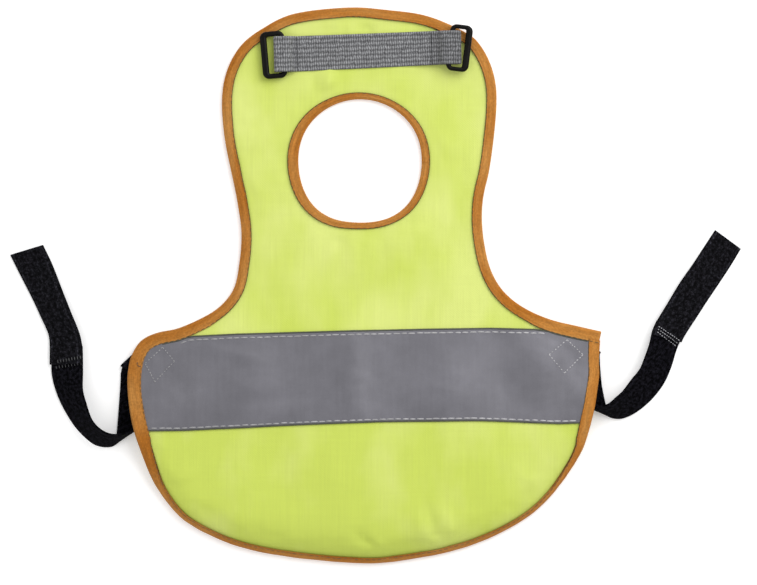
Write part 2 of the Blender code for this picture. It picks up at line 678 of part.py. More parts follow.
def webbing_lines():
    """Lines of the webbing, from one cut end over its ring, across the yoke and back again."""
    low = YOKE_HEIGHT + PANEL_WALL + SEAM_GAP + STRAP_WALL / 2
    sewn = low + STRAP_WALL + SEAM_GAP
    turn_radius = (STRAP_WALL + RING_BAR) / 2 + SEAM_GAP
    left_turn = WEBBING_LEFT_EDGE + STRAP_WALL / 2 + turn_radius
    right_turn = WEBBING_RIGHT_EDGE - STRAP_WALL / 2 - turn_radius
    clear = RING_BAR / 2 + SEAM_GAP
    left_clear = RING_ROWS[0][1] + clear
    right_clear = RING_ROWS[1][1] - clear
    top = low + 2 * turn_radius
    path = [(WEBBING_LEFT_END, sewn), (left_clear + TAB_SLOPE_LEFT[1], sewn),
            (left_clear + TAB_SLOPE_LEFT[0], top)]
    for turn in np.linspace(math.pi / 2, 1.5 * math.pi, FOLD_STEPS + 1):
        path.append((left_turn + turn_radius * math.cos(turn),
                     low + turn_radius + turn_radius * math.sin(turn)))
    run = np.linspace(left_turn, right_turn, math.ceil((right_turn - left_turn) / WEBBING_STEP))
    path.extend((x, low) for x in run[1:-1])
    for turn in np.linspace(-math.pi / 2, math.pi / 2, FOLD_STEPS + 1):
        path.append((right_turn + turn_radius * math.cos(turn),
                     low + turn_radius + turn_radius * math.sin(turn)))
    path += [(right_clear - TAB_SLOPE_RIGHT[0], top), (right_clear - TAB_SLOPE_RIGHT[1], sewn),
             (WEBBING_RIGHT_END, sewn)]
    line = curve_through(WEBBING_LINE, FINE_STEP, 2)
    tangent = np.gradient(line, axis=0)
    tangent /= np.linalg.norm(tangent, axis=1)[:, None]
    rulings = []
    for x, z in path:
        along = (x - WEBBING_RISE_FROM) / (WEBBING_RISE_TO - WEBBING_RISE_FROM)
        z += WEBBING_RIGHT_RISE * smooth_step(along)
        centre = np.array([x, np.interp(x, line[:, 0], line[:, 1])])
        way = np.array([np.interp(x, line[:, 0], tangent[:, k]) for k in (0, 1)])
        side = np.array([-way[1], way[0]])
        share = (x - WEBBING_LEFT_EDGE) / (WEBBING_RIGHT_EDGE - WEBBING_LEFT_EDGE)
        half = WEBBING_HALF_LEFT + (WEBBING_HALF_RIGHT - WEBBING_HALF_LEFT) * share
        rulings.append((*(centre - side * half), z, *(centre + side * half), z))
    return np.array(rulings)


def build_ring(name, x, y, outward, rise, finish):
    """A loop of round bar whose origin is the middle of its inner bar, inside the webbing."""
    half_length = (RING_LENGTH - RING_BAR) / 2
    span = RING_WIDTH - RING_BAR
    radius = RING_CORNER - RING_BAR / 2
    centres = ((span - radius, half_length - radius), (radius, half_length - radius),
               (radius, radius - half_length), (span - radius, radius - half_length))
    curve = bpy.data.curves.new(name, "CURVE")
    curve.dimensions = "3D"
    curve.bevel_depth = RING_BAR / 2 * METRES
    curve.bevel_resolution = 4
    points = []
    for corner, (centre_x, centre_y) in enumerate(centres):
        for step in range(RING_CORNER_STEPS + 1):
            turn = math.pi / 2 * (corner + step / RING_CORNER_STEPS)
            points.append((centre_x + radius * math.cos(turn), centre_y + radius * math.sin(turn)))
    spline = curve.splines.new("POLY")
    spline.points.add(len(points) - 1)
    spline.use_cyclic_u = True
    for point, (px, py) in zip(spline.points, points):
        point.co = (px * METRES, py * METRES, 0, 1)
    curve.materials.append(finish)
    ring = bpy.data.objects.new(name, curve)
    level = YOKE_HEIGHT + PANEL_WALL + 2 * SEAM_GAP + STRAP_WALL + RING_BAR / 2
    ring.location = Vector((x, y, level + rise)) * METRES
    ring.rotation_euler.z = math.radians(outward)
    VEST.objects.link(ring)


def new_finish(name, red, green, blue, roughness, metallic=0.0):
    finish = bpy.data.materials.new(name)
    finish.use_nodes = True
    shader = finish.node_tree.nodes["Principled BSDF"]
    shader.inputs["Base Color"].default_value = (red, green, blue, 1)
    shader.inputs["Roughness"].default_value = roughness
    shader.inputs["Metallic"].default_value = metallic
    finish.diffuse_color = (red, green, blue, 1)
    return finish


for old in list(bpy.data.objects):
    bpy.data.objects.remove(old, do_unlink=True)
VEST = bpy.data.collections.new("chicken_safety_vest")
bpy.context.scene.collection.children.link(VEST)

FLUORESCENT = new_finish("fluorescent_cloth", 0.62, 0.78, 0.16, 0.8)
ORANGE = new_finish("orange_tape", 0.45, 0.19, 0.05, 0.75)
REFLECTIVE = new_finish("reflective_tape", 0.20, 0.20, 0.22, 0.45, 0.2)
GREY_WEBBING = new_finish("grey_webbing", 0.19, 0.19, 0.20, 0.8)
BLACK_PLASTIC = new_finish("black_plastic", 0.012, 0.012, 0.014, 0.35)
BLACK_ELASTIC = new_finish("black_elastic", 0.006, 0.006, 0.008, 0.85)
BLACK_TAPE = new_finish("black_hook_and_loop", 0.01, 0.01, 0.012, 0.95)

STATIONS = edge_stations()
PLAN, PANEL_NET, BAND_NET = cloth_net(STATIONS)
build_layer("body_panel", PLAN, PANEL_NET, 0.0, PANEL_WALL, FLUORESCENT)
BAND_LOW = PANEL_WALL + SEAM_GAP
build_layer("reflective_band", PLAN, BAND_NET, BAND_LOW, BAND_LOW + BAND_WALL, REFLECTIVE)
build_edge_binding(STATIONS, ORANGE)
build_neck_binding(ORANGE)
ribbon("webbing_strip", webbing_lines(), GREY_WEBBING)
for ring_row in RING_ROWS:
    build_ring(*ring_row, BLACK_PLASTIC)
for side, elastic_rows, tape_rows, fold, root in (
        ("left", ELASTIC_LEFT, TAPE_LEFT, FOLD_LEFT, ROOT_LEFT),
        ("right", ELASTIC_RIGHT, TAPE_RIGHT, FOLD_RIGHT, ROOT_RIGHT)):
    elastic = strap_lines(elastic_rows, fold, root)
    ribbon(f"strap_elastic_{side}", elastic, BLACK_ELASTIC)
    ribbon(f"strap_tape_{side}", tape_lines(tape_rows, elastic), BLACK_TAPE)
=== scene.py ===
"""The looks of a hen's safety vest where it lies: cloth, bindings, stitches, straps and rings.

Sizes are in millimetres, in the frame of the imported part, and become metres where a mesh is made.
"""

import math

import bmesh
import bpy
import numpy as np
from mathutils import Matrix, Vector, noise
from mathutils.bvhtree import BVHTree


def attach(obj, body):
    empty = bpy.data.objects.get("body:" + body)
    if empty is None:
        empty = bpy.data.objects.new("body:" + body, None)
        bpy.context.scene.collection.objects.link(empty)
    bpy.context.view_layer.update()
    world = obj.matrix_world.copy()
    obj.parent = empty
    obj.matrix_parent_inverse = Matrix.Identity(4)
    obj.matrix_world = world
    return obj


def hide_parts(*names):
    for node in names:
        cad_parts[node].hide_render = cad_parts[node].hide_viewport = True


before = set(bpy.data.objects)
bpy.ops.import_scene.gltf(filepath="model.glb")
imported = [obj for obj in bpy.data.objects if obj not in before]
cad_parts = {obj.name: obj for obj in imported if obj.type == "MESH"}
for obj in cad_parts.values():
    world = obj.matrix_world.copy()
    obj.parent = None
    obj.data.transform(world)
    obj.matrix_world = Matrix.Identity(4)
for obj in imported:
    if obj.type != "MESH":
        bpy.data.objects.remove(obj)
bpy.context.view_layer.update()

# Metres in a millimetre, and the millimetres within which two corners are one.
METRES = 0.001
MERGE = 0.001
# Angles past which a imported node's faces count as separate, and a piece's edges show sharp.
SHARP = math.radians(55)
SMOOTHED = math.radians(60)
# The body that all but the rings rides on.
VEST = "vest"

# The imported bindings' section: walls, gaps and the bevel of the outer rim.
PANEL_WALL = 1.0
SEAM_GAP = 0.3
TAPE_TOP = 2.3
TAPE_LOW = -1.3
TAPE_BEVEL = 0.65
# Corners of a packed section of tape or strap, and the neck tape's centre and number of sections.
TAPE_CORNERS = 14
STRAP_CORNERS = 4
NECK_CENTRE = (-8.5, 68.2)
NECK_STATIONS = 40

# Fine creases in the cloth, on top of the folds that the part has.
# x, y, heading in degrees, half length, half width, height
CREASE_ROWS = (
    (-79.0, 74.0, 20, 9, 2.6, 0.5),
    (-62.0, 90.0, 40, 16, 4.0, -0.35),
    (-33.0, 24.0, 70, 9, 3.2, 0.4),
    (-20.0, 27.0, 88, 8, 2.6, -0.4),
    (-4.0, 25.0, 95, 8, 2.6, 0.4),
    (4.0, 22.0, 80, 10, 3.0, -0.45),
    (23.0, 28.0, 60, 8, 3.0, 0.35),
    (-20.0, 142.0, 85, 5, 2.6, 0.35),
    (-3.0, 143.0, 92, 5, 2.6, -0.3),
    (-27.0, 112.0, 95, 6, 3.0, 0.5),
    (-18.0, 110.0, 85, 6, 3.0, -0.35),
    (48.0, 60.0, 100, 18, 5.0, -0.35),
    (-13.0, -50.0, 86, 24, 6.0, 0.16),
    (-1.0, -50.0, 92, 24, 6.0, -0.24),
    (72.0, -48.0, 93, 24, 6.0, -0.26),
    (91.0, -47.0, 92, 22, 6.0, 0.14),
    (-118.0, -68.0, -50, 14, 4.5, 0.26),
    (-84.0, -36.0, -12, 16, 3.6, 0.4),
    (-60.0, -62.0, 5, 26, 4.0, -0.3),
    (40.0, -96.0, 94, 22, 4.5, 0.5),
    (-40.0, -98.0, 86, 22, 4.5, 0.45),
    (31.5, -132.0, 105, 13, 3.2, -1.3),
    (24.5, -134.0, 102, 11, 3.2, 0.8),
    (40.0, -131.0, 112, 10, 3.8, 0.8),
    (-5.0, -140.5, 140, 8, 3.0, -1.1),
    (3.0, -143.0, 120, 6, 3.0, 0.7),
    (-14.0, 143.0, 90, 8, 2.6, 0.5),
    (-5.0, 142.0, 92, 8, 2.6, -0.5),
    (-25.0, 113.0, 86, 9, 2.4, 0.6),
    (-34.0, 111.0, 96, 8, 2.4, -0.5),
    (-104.0, -104.0, 30, 12, 3.2, 0.6),
    (-95.0, -112.0, 48, 12, 3.0, -0.4),
    (86.0, -108.0, 140, 14, 3.6, 0.5),
)
CREASE_STRENGTH = 1.5
# Distances from the cloth's edges at which the relief starts and is full.
RELIEF_STARTS = 6.4
RELIEF_FULL = 10.5
# Puckers near the edges and drape all over: height, size, level in the noise, and reach.
PUCKER_HEIGHT = 0.55
PUCKER_SIZE = 8.0
PUCKER_LEVEL = 0.3
PUCKER_REACH = 9.0
DRAPE_HEIGHT = 0.9
DRAPE_SIZE = 34.0
DRAPE_LEVEL = 4.1
# The cloth is smoothed in rounds, from the first distance inside its edges, fully past the second.
SMOOTHING_ROUNDS = 10
LOOSE_STARTS = 2.5
LOOSE_FULL = 7.5

# Reflective band, and the cosine above which two of its edges meet at one of its corners.
BAND_THICKNESS = 0.6
BAND_CORNER = -0.75

# Section of a sewn tape: share of its width, distance in from there, height, and painted shade:
# a painted highlight along the rounded rim, a little painted shade across the top, and a dark
# painted shadow under the inner lip.
TAPE_SECTION = (
    (0, 1.9, -1.3, 1.0), (0, 1.1, -1.22, 1.0), (0, 0.5, -0.9, 1.0), (0, 0.13, -0.35, 1.0),
    (0, 0.0, 0.5, 1.05), (0, 0.13, 1.3, 1.12), (0, 0.5, 1.88, 1.08), (0, 1.1, 2.2, 0.98),
    (0, 1.9, 2.32, 0.94), (0.5, -0.3, 2.33, 0.94), (0.5, 0.3, 2.36, 1.04), (1, -1.6, 2.28, 1.06),
    (1, -1.1, 2.2, 1.0), (1, -0.78, 2.12, 0.92), (1, -0.45, 2.22, 1.0), (1, -0.05, 2.32, 0.98),
    (1, 0.12, 2.28, 0.68), (1, 0.32, 2.16, 0.38), (1, 0.46, 1.8, 0.28), (1, 0.40, 1.36, 0.28),
    (1, 0.0, 1.3, 0.6), (0.5, 0, 1.3, 1.0), (0, 1.15, 1.3, 1.0), (0, 1.0, 1.15, 1.0),
    (0, 1.0, -0.15, 1.0), (0, 1.15, -0.3, 1.0), (0.5, 0, -0.3, 1.0), (1, -0.4, -0.3, 1.0),
    (1, -0.08, -0.36, 1.0), (1, 0, -0.6, 1.0), (1, 0, -1.0, 1.0), (1, -0.1, -1.24, 1.0),
    (1, -0.4, -1.3, 1.0), (0.5, 0, -1.3, 1.0),
)
# The corner of that section, on top of the tape's inner edge, that its stitches follow.
STITCHED_CORNER = 16
TAPE_SPACING = 0.9
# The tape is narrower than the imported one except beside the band, and more so along the hem.
LIP_TRIM = 0.6
HEM_TRIM = 0.45
BAND_FROM_Y = -88
BAND_TO_Y = -16
BAND_EASE = 4
HEM_BELOW_Y = -100
HEM_EASE = 15
# The section's painted shade and highlight are weaker along the hem, and all but gone beside the
# band's left end, where the painted dark lip turns slightly pale.
HEM_LIGHT = 0.6
LEFT_LIGHT = 1.1
# Ripples in the tape above a height in its section, and the pull of its stitches on it.
RIPPLE_ABOVE = 1.4
RIPPLE_ALONG = 7.0
RIPPLE_ACROSS = 5.0
RIPPLE_HEIGHT = 0.16
PULL_HEIGHT = 0.07
PULL_REACH = 0.8
STITCH_INSET = 0.78
# The side's tape runs on by this much over the end of the shoulder's tape, and rises by this much.
TAPE_LAP = 2.1
TAPE_LAP_RISE = 0.35

# Straps: spacing of the rows of points along them, and how many columns lie between the edges.
WEBBING_MESH = (0.36, 64)
ELASTIC_MESH = (0.5, 24)
HOOK_MESH = (0.7, 44)
# Shares of a strap's width where the points of an edge lie, and powers that round its edges.
STRAP_EDGE = (0.0, 0.004, 0.014, 0.032)
STRAP_FLAT = (0.05, 0.95)
EDGE_SQUARENESS = 14
EDGE_ROUNDNESS = 1 / 3
# Where the left elastic folds beside the vest, its corner is rounded off within this distance.
FOLDED_CORNER = (-140.3, -45.4)
CORNER_REACH = 2.6
CORNER_PULL = 0.5
# Webbing: spacing of its yarns along the strip, and of its ribs across it.
WEAVE_COLUMN = 1.3
WEAVE_ROW = 2.45
# Webbing tabs: where each starts in x, and the painted light on it against the rest, the left tab
# painted a little lighter and the right one darker, as they face towards and away from the light.
TAB_LEFT = (-43.7, 1.05)
TAB_RIGHT = (31.1, 0.80)
# The painted highlight on the lines where the webbing folds, and the paler lines along each side of
# a fastening tape.
FOLD_HIGHLIGHT = 0.5
FOLD_WIDTH = 0.9
BORDER_LIGHT = 1.6
BORDER_INSET = 1.3
BORDER_WIDTH = 0.42
PLAIN_EDGE = 1.1
# Elastic: spacing of its ribs along, and of its fainter ones across.
RIB_ALONG = 1.3
RIB_ACROSS = 1.6

# Stitches: from start to start, length, thickness and unevenness. The first of these, on a line
# much shorter than itself, gives a single stitch.
SINGLE = 30
BAND_STITCH = (4.15, 3.75, 0.84, 0.4)
BOX_STITCH = (1.9, 1.0, 0.64, 0.25)
TAPE_STITCH = (3.1, 2.5, 0.36, 0.3)
CORNER_STITCH = (1.5, 1.3, 0.42, 0.0)
BAR_STITCH = (SINGLE, 2.0, 0.5, 0.0)
LAP_STITCH = (1.5, 0.9, 0.5, 0.2)
TAB_STITCH = (1.5, 1.0, 0.5, 0.2)
TAIL_THICKNESS = 0.5
# Points along a stitch and round its thread, how it arches and sinks, and its ends' thickness.
STITCH_POINTS = 6
THREAD_SIDES = 6
ARCH_POWER = 0.6
ARCH_RISE = 0.55
ARCH_SINK = 0.35
THREAD_ENDS = 0.45
SIDEWAYS = 0.3
# Stitches are laid on the pieces in steps, by looking down from this height in metres.
SETTLE_STEP = 0.5
SETTLE_FROM = 0.05

# Rows of stitches on the band: how far in from its sides, and from where to where in x.
TOP_STITCH_INSET = 2.3
LOW_STITCH_INSET = 1.6
TOP_STITCH_X = (-107, 93)
LOW_STITCH_X = (-123, 110)
ROW_POINTS = 120
# The band's folded sides, darkened into painted shade: thickness, points round, and how far out
# they lie.
ROLL_THICKNESS = 0.9
ROLL_SIDES = 8
ROLL_OUT = 0.4
# How much x counts against y in finding the band's corners, and a point against a millimetre.
X_WEIGHT = 0.35
POINT_WEIGHT = 0.01
# Box stitches that hold each strap's sewn end, as seen on the band: the corners of a diamond.
DIAMOND_LEFT = ((-116.7, -33.6), (-110.2, -41.4), (-120.9, -52.6), (-126.2, -42.4))
DIAMOND_RIGHT = ((105.1, -29.6), (113.6, -37.7), (103.6, -47.8), (95.2, -37.7))
CORNER_THREAD = ((-130.5, -41.8), (-130.7, -42.9), (-129.8, -44.2), (-128.4, -44.0))
THREAD_TAIL = ((-46.6, 56.4), (-47.6, 57.4), (-48.6, 56.9), (-48.9, 55.6), (-48.2, 54.9))

# Sewing at each strap's lap: on the left two rows of short bars along the strap, on the right
# three rows across it.
LEFT_BARS = (((-175.4, -44.6), (-161.6, -42.2)), ((-174.4, -41.4), (-161.8, -39.0)))
BAR_COUNT = 9
BAR_LENGTH = 2.2
RIGHT_FIRST_ROW = ((155.2, -22.1), (166.9, -29.9))
RIGHT_LAST_ROW = ((154.5, -25.3), (164.9, -32.8))
RIGHT_ROWS = 3
TAB_LINES = (((-43.4, 136.6), (-42.7, 118.2)), ((30.6, 139.2), (31.0, 121.8)))

# Rings: rectangular loops of plastic with a round inner bar and a broad outer bar.
RING_BAR = 2.8
RING_CORNER = 3.6
RING_INNER_CORNER = 0.8
RING_SQUARENESS = 2.7
# name, body, middle of the inner bar, heading away from it in degrees, length, reach past the
# middle of the inner bar, width of the arms and of the outer bar
RING_ROWS = (
    ("ring_left", "left_ring", (-50.6, 127.2, 6.2), 185, 26.0, 12.1, 2.8, 3.7),
    ("ring_right", "right_ring", (41.2, 131.0, 7.7), -7, 25.7, 11.1, 2.4, 3.7),
)
BAR_POINTS = 28
CORNER_POINTS = 12
SIDE_POINTS = 6

# Floor, light and camera. Each light has a name, a place and a size in metres, and its watts.
FLOOR_SIZE = 8000
FLOOR_DROP = 0.2
SKY_STRENGTH = 0.66
LIGHTS = (("key", (0.55, 0.6, 0.9), 1.0, 9.4), ("fill", (-0.9, -0.2, 1.2), 1.2, 3))
LENS = 200
SENSOR = 36
SIGHT = 20
PHOTO_WIDTH = 757 * 0.55
CAMERA_X, CAMERA_Y = 1.65, -3.6


def unit(vectors):
    """Vectors of length one in the same directions."""
    return vectors / np.linalg.norm(vectors, axis=-1, keepdims=True)


def noise_at(x, y, level):
    """Smooth noise at each place in a plan."""
    return np.array([noise.noise(Vector((a, b, level))) for a, b in np.broadcast(x, y)])


def node_shape(name):
    """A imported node's mesh in millimetres, with its split corners joined."""
    shape = bmesh.new()
    shape.from_mesh(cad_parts[name].data)
    bmesh.ops.scale(shape, vec=(1 / METRES,) * 3, verts=shape.verts)
    bmesh.ops.remove_doubles(shape, verts=shape.verts, dist=MERGE)
    shape.verts.index_update()
    shape.verts.ensure_lookup_table()
    return shape


def flat_regions(shape):
    """Sets of faces that meet at less than a sharp angle, largest first."""
    seen, regions = set(), []
    for first in shape.faces:
        if first in seen:
            continue
        seen.add(first)
        region, waiting = {first}, [first]
        while waiting:
            for edge in waiting.pop().edges:
                if edge.calc_face_angle() > SHARP:
                    continue
                for face in edge.link_faces:
                    if face not in seen:
                        seen.add(face)
                        region.add(face)
                        waiting.append(face)
        regions.append(region)
    return sorted(regions, key=len, reverse=True)


def loops_along(edges):
    """Closed loops of vertex numbers along edges that don't branch, longest first."""
    links = {}
    for edge in edges:
        a, b = (vert.index for vert in edge.verts)
        links.setdefault(a, []).append(b)
        links.setdefault(b, []).append(a)
    loops, seen = [], set()
    for first in links:
        loop, here, before = [], first, None
        while here not in seen:
            seen.add(here)
            loop.append(here)
            ahead = [link for link in links[here] if link != before]
            before, here = here, ahead[0]
        if loop:
            loops.append(loop)
    return sorted(loops, key=len, reverse=True)


def rim_edges(shape, region):
    """Edges with one face in a region."""
    return [edge for edge in shape.edges if sum(face in region for face in edge.link_faces) == 1]


def upper_region(shape):
    """The faces of a layer of cloth that look up."""
    return next(region for region in flat_regions(shape)
                if sum(face.normal.z for face in region) > 0.5 * len(region))


def places(shape):
    return np.array([vert.co[:] for vert in shape.verts])


def orders_round(count):
    """Every order of the corners of a ring that follows it round, either way."""
    forwards = np.arange(count)
    return [np.roll(way, shift) for way in (forwards, forwards[::-1]) for shift in range(count)]


def nearest_order(ring, before):
    """A section's corners in the order that lies nearest to the section before."""
    options = [ring[order] for order in orders_round(len(ring))]
    return min(options, key=lambda option: ((option - before) ** 2).sum())


def open_sections(name, corners):
    """The sections of a packed strip, from one of its ends to the other."""
    shape = node_shape(name)
    points = places(shape)
    caps = [region for region in flat_regions(shape) if len(region) == corners - 2
            and len(rim_edges(shape, region)) == corners]
    caps.sort(key=lambda cap: min(abs(face.calc_center_median().x) for face in cap))
    within = {edge for cap in caps for face in cap for edge in face.edges
              if all(face in cap for face in edge.link_faces)}
    for cap in caps:
        layer = loops_along(rim_edges(shape, cap))[0]
        seen, sections = set(layer), [points[layer]]
        while True:
            ahead = {edge.other_vert(shape.verts[i]).index for i in layer
                     for edge in shape.verts[i].link_edges} - seen
            if len(ahead) != corners:
                break
            edges = {edge for i in ahead for edge in shape.verts[i].link_edges
                     if edge not in within and all(vert.index in ahead for vert in edge.verts)}
            layer = loops_along(edges)[0]
            seen |= ahead
            sections.append(nearest_order(points[layer], sections[-1]))
        if len(seen) == len(points):
            return np.array(sections)
    raise ValueError(f"{name} isn't a strip of {corners}-cornered sections")


def round_sections(name, centre, count):
    """The sections of a packed ring, in order round its centre."""
    shape = node_shape(name)
    points = places(shape)
    angle = np.arctan2(points[:, 1] - centre[1], points[:, 0] - centre[0])
    station = np.round(angle / (2 * math.pi) * count).astype(int) % count
    sections = []
    for number in range(count):
        edges = [edge for edge in shape.edges
                 if all(station[vert.index] == number for vert in edge.verts)]
        ring = points[loops_along(edges)[0]]
        sections.append(nearest_order(ring, sections[-1]) if sections else ring)
    return np.array(sections)


def tape_lengths(width):
    """The sides of a folded tape's section, in order."""
    half = width / 2
    slant = TAPE_BEVEL * math.sqrt(2)
    rim = TAPE_TOP - TAPE_LOW - 2 * TAPE_BEVEL
    fold = PANEL_WALL
    inner = PANEL_WALL + 2 * SEAM_GAP
    return np.array([fold, half, half - TAPE_BEVEL, slant, rim, slant, half - TAPE_BEVEL, half,
                     fold, half, half - fold, inner, half - fold, half])


def in_tape_order(sections):
    """Tape sections turned so that their corners run from the under leg round the rim."""
    first = sections[0]
    sides = np.linalg.norm(np.roll(first, -1, axis=0) - first, axis=1)
    width = (sides.sum() - tape_lengths(0.0).sum()) / 4
    wanted = tape_lengths(width)

    def misfit(order):
        ring = first[order]
        lengths = np.linalg.norm(np.roll(ring, -1, axis=0) - ring, axis=1)
        upside_down = ring[7, 2] < ring[2, 2]
        return np.abs(lengths - wanted).sum() + 100 * upside_down

    return sections[:, min(orders_round(TAPE_CORNERS), key=misfit)]


def carried_along(rows, spacing, closed=False):
    """Rows of points about `spacing` apart on smooth curves through the given rows."""
    if closed:
        knots = np.concatenate([rows[-1:], rows, rows[:2]])
    else:
        knots = np.concatenate([2 * rows[:1] - rows[1:2], rows, 2 * rows[-1:] - rows[-2:-1]])
    middle = knots.mean(axis=1)
    pieces = []
    for i in range(len(knots) - 3):
        sides = np.linalg.norm(np.diff(middle[i:i + 4], axis=0), axis=1)
        count = max(1, round(sides[1] / spacing))
        times = np.cumsum([0.0] + [max(side, 1e-4) ** 0.5 for side in sides])
        now = np.linspace(times[1], times[2], count, endpoint=False)[:, None, None]

        def between(first, second, start, end):
            return (first * (end - now) + second * (now - start)) / (end - start)

        a, b, c, d = knots[i:i + 4]
        ab = between(a, b, times[0], times[1])
        bc = between(b, c, times[1], times[2])
        cd = between(c, d, times[2], times[3])
        abc = between(ab, bc, times[0], times[2])
        bcd = between(bc, cd, times[1], times[3])
        pieces.append(between(abc, bcd, times[1], times[2]))
    if not closed:
        pieces.append(rows[-1:])
    return np.concatenate(pieces)


def walked(points, closed=False):
    """Distance along a line of points, to each of them, and once round if it is closed."""
    if closed:
        points = np.concatenate([points, points[:1]])
    steps = np.linalg.norm(np.diff(points, axis=0), axis=1)
    return np.append(0.0, np.cumsum(steps))


def smooth_step(share):
    share = np.clip(share, 0, 1)
    return share * share * (3 - 2 * share)


def plan_distance(points, loop):
    """Plan distance from each point to a closed loop."""
    start = loop[:, :2]
    step = np.roll(start, -1, axis=0) - start
    square = (step ** 2).sum(1)
    distances = []
    for part in np.array_split(points[:, :2], max(1, len(points) // 4000)):
        offset = part[:, None] - start
        share = np.clip((offset * step).sum(2) / square, 0, 1)
        distances.append(np.sqrt(((offset - share[..., None] * step) ** 2).sum(2).min(1)))
    return np.concatenate(distances)


def inside(loop, points):
    """True for each point that lies inside a closed plan loop."""
    x, y = points[:, 0][:, None], points[:, 1][:, None]
    ax, ay = loop[:, 0], loop[:, 1]
    bx, by = np.roll(ax, -1), np.roll(ay, -1)
    crosses = (ay > y) != (by > y)
    height = np.where(by == ay, 1.0, by - ay)
    return (crosses & (x < ax + (y - ay) * (bx - ax) / height)).sum(1) % 2 == 1


def placed(name, data):
    """An object in the scene."""
    thing = bpy.data.objects.new(name, data)
    bpy.context.scene.collection.objects.link(thing)
    return thing


def make_piece(name, points, faces, finish, uvs=None, body=VEST, shade=None):
    """A piece of the vest from points in millimetres, riding on a body."""
    mesh = bpy.data.meshes.new(name)
    mesh.from_pydata((np.asarray(points) * METRES).tolist(), [], faces)
    if uvs is not None:
        layer = mesh.uv_layers.new(name="cloth")
        corner = np.zeros(len(mesh.loops), int)
        mesh.loops.foreach_get("vertex_index", corner)
        layer.data.foreach_set("uv", np.asarray(uvs)[corner].ravel())
    shape = bmesh.new()
    shape.from_mesh(mesh)
    bmesh.ops.recalc_face_normals(shape, faces=shape.faces)
    shape.to_mesh(mesh)
    shape.free()
    mesh.shade_smooth()
    mesh.set_sharp_from_angle(angle=SMOOTHED)
    if shade is not None:
        mesh.attributes.new("shade", "FLOAT", "POINT").data.foreach_set("value", shade)
    mesh.materials.append(finish)
    piece = placed(name, mesh)
    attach(piece, body)
    return piece


def tube_faces(count, size, closed):
    """Faces between like rings of points, and over both ends if the tube is open."""
    faces = []
    for i in range(count if closed else count - 1):
        here, there = i * size, (i + 1) % count * size
        for k in range(size):
            after = (k + 1) % size
            faces.append((here + k, here + after, there + after, there + k))
    if not closed:
        last = (count - 1) * size
        faces.append(tuple(range(size)))
        faces.append(tuple(range(last, last + size)))
    return faces


def add_tube(points, faces, rings):
    """Adds a tube through rings of points, with its ends closed, to a mesh's points and faces."""
    first = len(points)
    points.extend(rings.reshape(-1, 3))
    faces.extend(tuple(first + index for index in face)
                 for face in tube_faces(*rings.shape[:2], closed=False))


class Finish:
    """A material under construction. An input is a value or another node's output."""

    def __init__(self, name, on_cloth=False, **sockets):
        self.material = bpy.data.materials.new(name)
        self.material.use_nodes = True
        self.tree = self.material.node_tree
        self.shader = self.tree.nodes["Principled BSDF"]
        self.on_cloth = on_cloth
        for socket, value in sockets.items():
            self.shader.inputs[socket.replace("_", " ")].default_value = value

    def add(self, kind, inputs=None, output=0, **settings):
        node = self.tree.nodes.new("ShaderNode" + kind)
        for setting, value in settings.items():
            setattr(node, setting, value)
        for socket, value in (inputs or {}).items():
            self.feed(node.inputs[socket], value)
        return node.outputs[output]

    def feed(self, socket, value):
        if isinstance(value, bpy.types.NodeSocket):
            self.tree.links.new(value, socket)
        else:
            socket.default_value = value

    def maths(self, operation, first, second=0.0):
        return self.add("Math", {0: first, 1: second}, operation=operation)

    def place(self, x=1, y=1, z=1):
        """The place on the vest or along the cloth, in millimetres times a stretch each way."""
        if self.on_cloth:
            source = self.add("UVMap", uv_map="cloth")
        else:
            source = self.add("TexCoord", output="Object")
        scale = (x / METRES, y / METRES, z / METRES)
        return self.add("Mapping", {"Vector": source, "Scale": scale})

    def axes(self, vector):
        """A vector's parts along x, y and z."""
        split = self.tree.nodes.new("ShaderNodeSeparateXYZ")
        self.feed(split.inputs[0], vector)
        return split.outputs

    def shade(self):
        """The shade that a piece carries at each of its points: painted shade and highlight on the
        bindings and webbing, a paler border on the fastening tapes.
        """
        return self.add("Attribute", output=2, attribute_name="shade")

    def noise(self, place, detail=2.0, roughness=0.5, scale=1.0):
        """Noise at a place, or over the whole place times a stretch for each axis."""
        vector = self.place(*place) if isinstance(place, tuple) else place
        return self.add("TexNoise", {"Vector": vector, "Scale": scale, "Detail": detail,
                                     "Roughness": roughness})

    def weave(self, vector, *pitches):
        """Plain weave: rounded over-and-under yarns of the given pitches in millimetres."""
        sines = [self.maths("SINE", self.maths("MULTIPLY", part, math.pi / pitch))
                 for part, pitch in zip(self.axes(vector), pitches)]
        return self.maths("MULTIPLY", *sines)

    def ramp(self, factor, low, high, low_value, high_value):
        """A number eased from low_value to high_value as the factor goes from low to high."""
        return self.add("MapRange", {"Value": factor, "From Min": low, "From Max": high,
                                     "To Min": low_value, "To Max": high_value})

    def colour(self, base_colour, *factors):
        """Makes the surface's colour a base colour times factors, each an output or the terms of a
        ramp.
        """
        product = 1.0
        for factor in factors:
            product = self.maths("MULTIPLY", product,
                                 self.ramp(*factor) if isinstance(factor, tuple) else factor)
        tone = self.add("CombineXYZ", {"X": product, "Y": product, "Z": product})
        tinted = self.add("VectorMath", {0: base_colour, 1: tone}, operation="MULTIPLY")
        self.feed(self.shader.inputs["Base Color"], tinted)

    def mixed(self, factor, first, second):
        """A colour between two, that goes from the first to the second with the factor."""
        mix = self.tree.nodes.new("ShaderNodeMix")
        mix.data_type = "RGBA"
        for socket, value in (("Factor", factor), ("A", first), ("B", second)):
            self.feed(mix.inputs[socket], value)
        return mix.outputs["Result"]

    def bumps(self, *layers):
        """Each layer is a height field, its strength and its depth in millimetres."""
        normal = None
        for height, strength, depth in layers:
            inputs = {"Height": height, "Strength": strength, "Distance": depth * METRES}
            if normal is not None:
                inputs["Normal"] = normal
            normal = self.add("Bump", inputs)
        self.feed(self.shader.inputs["Normal"], normal)


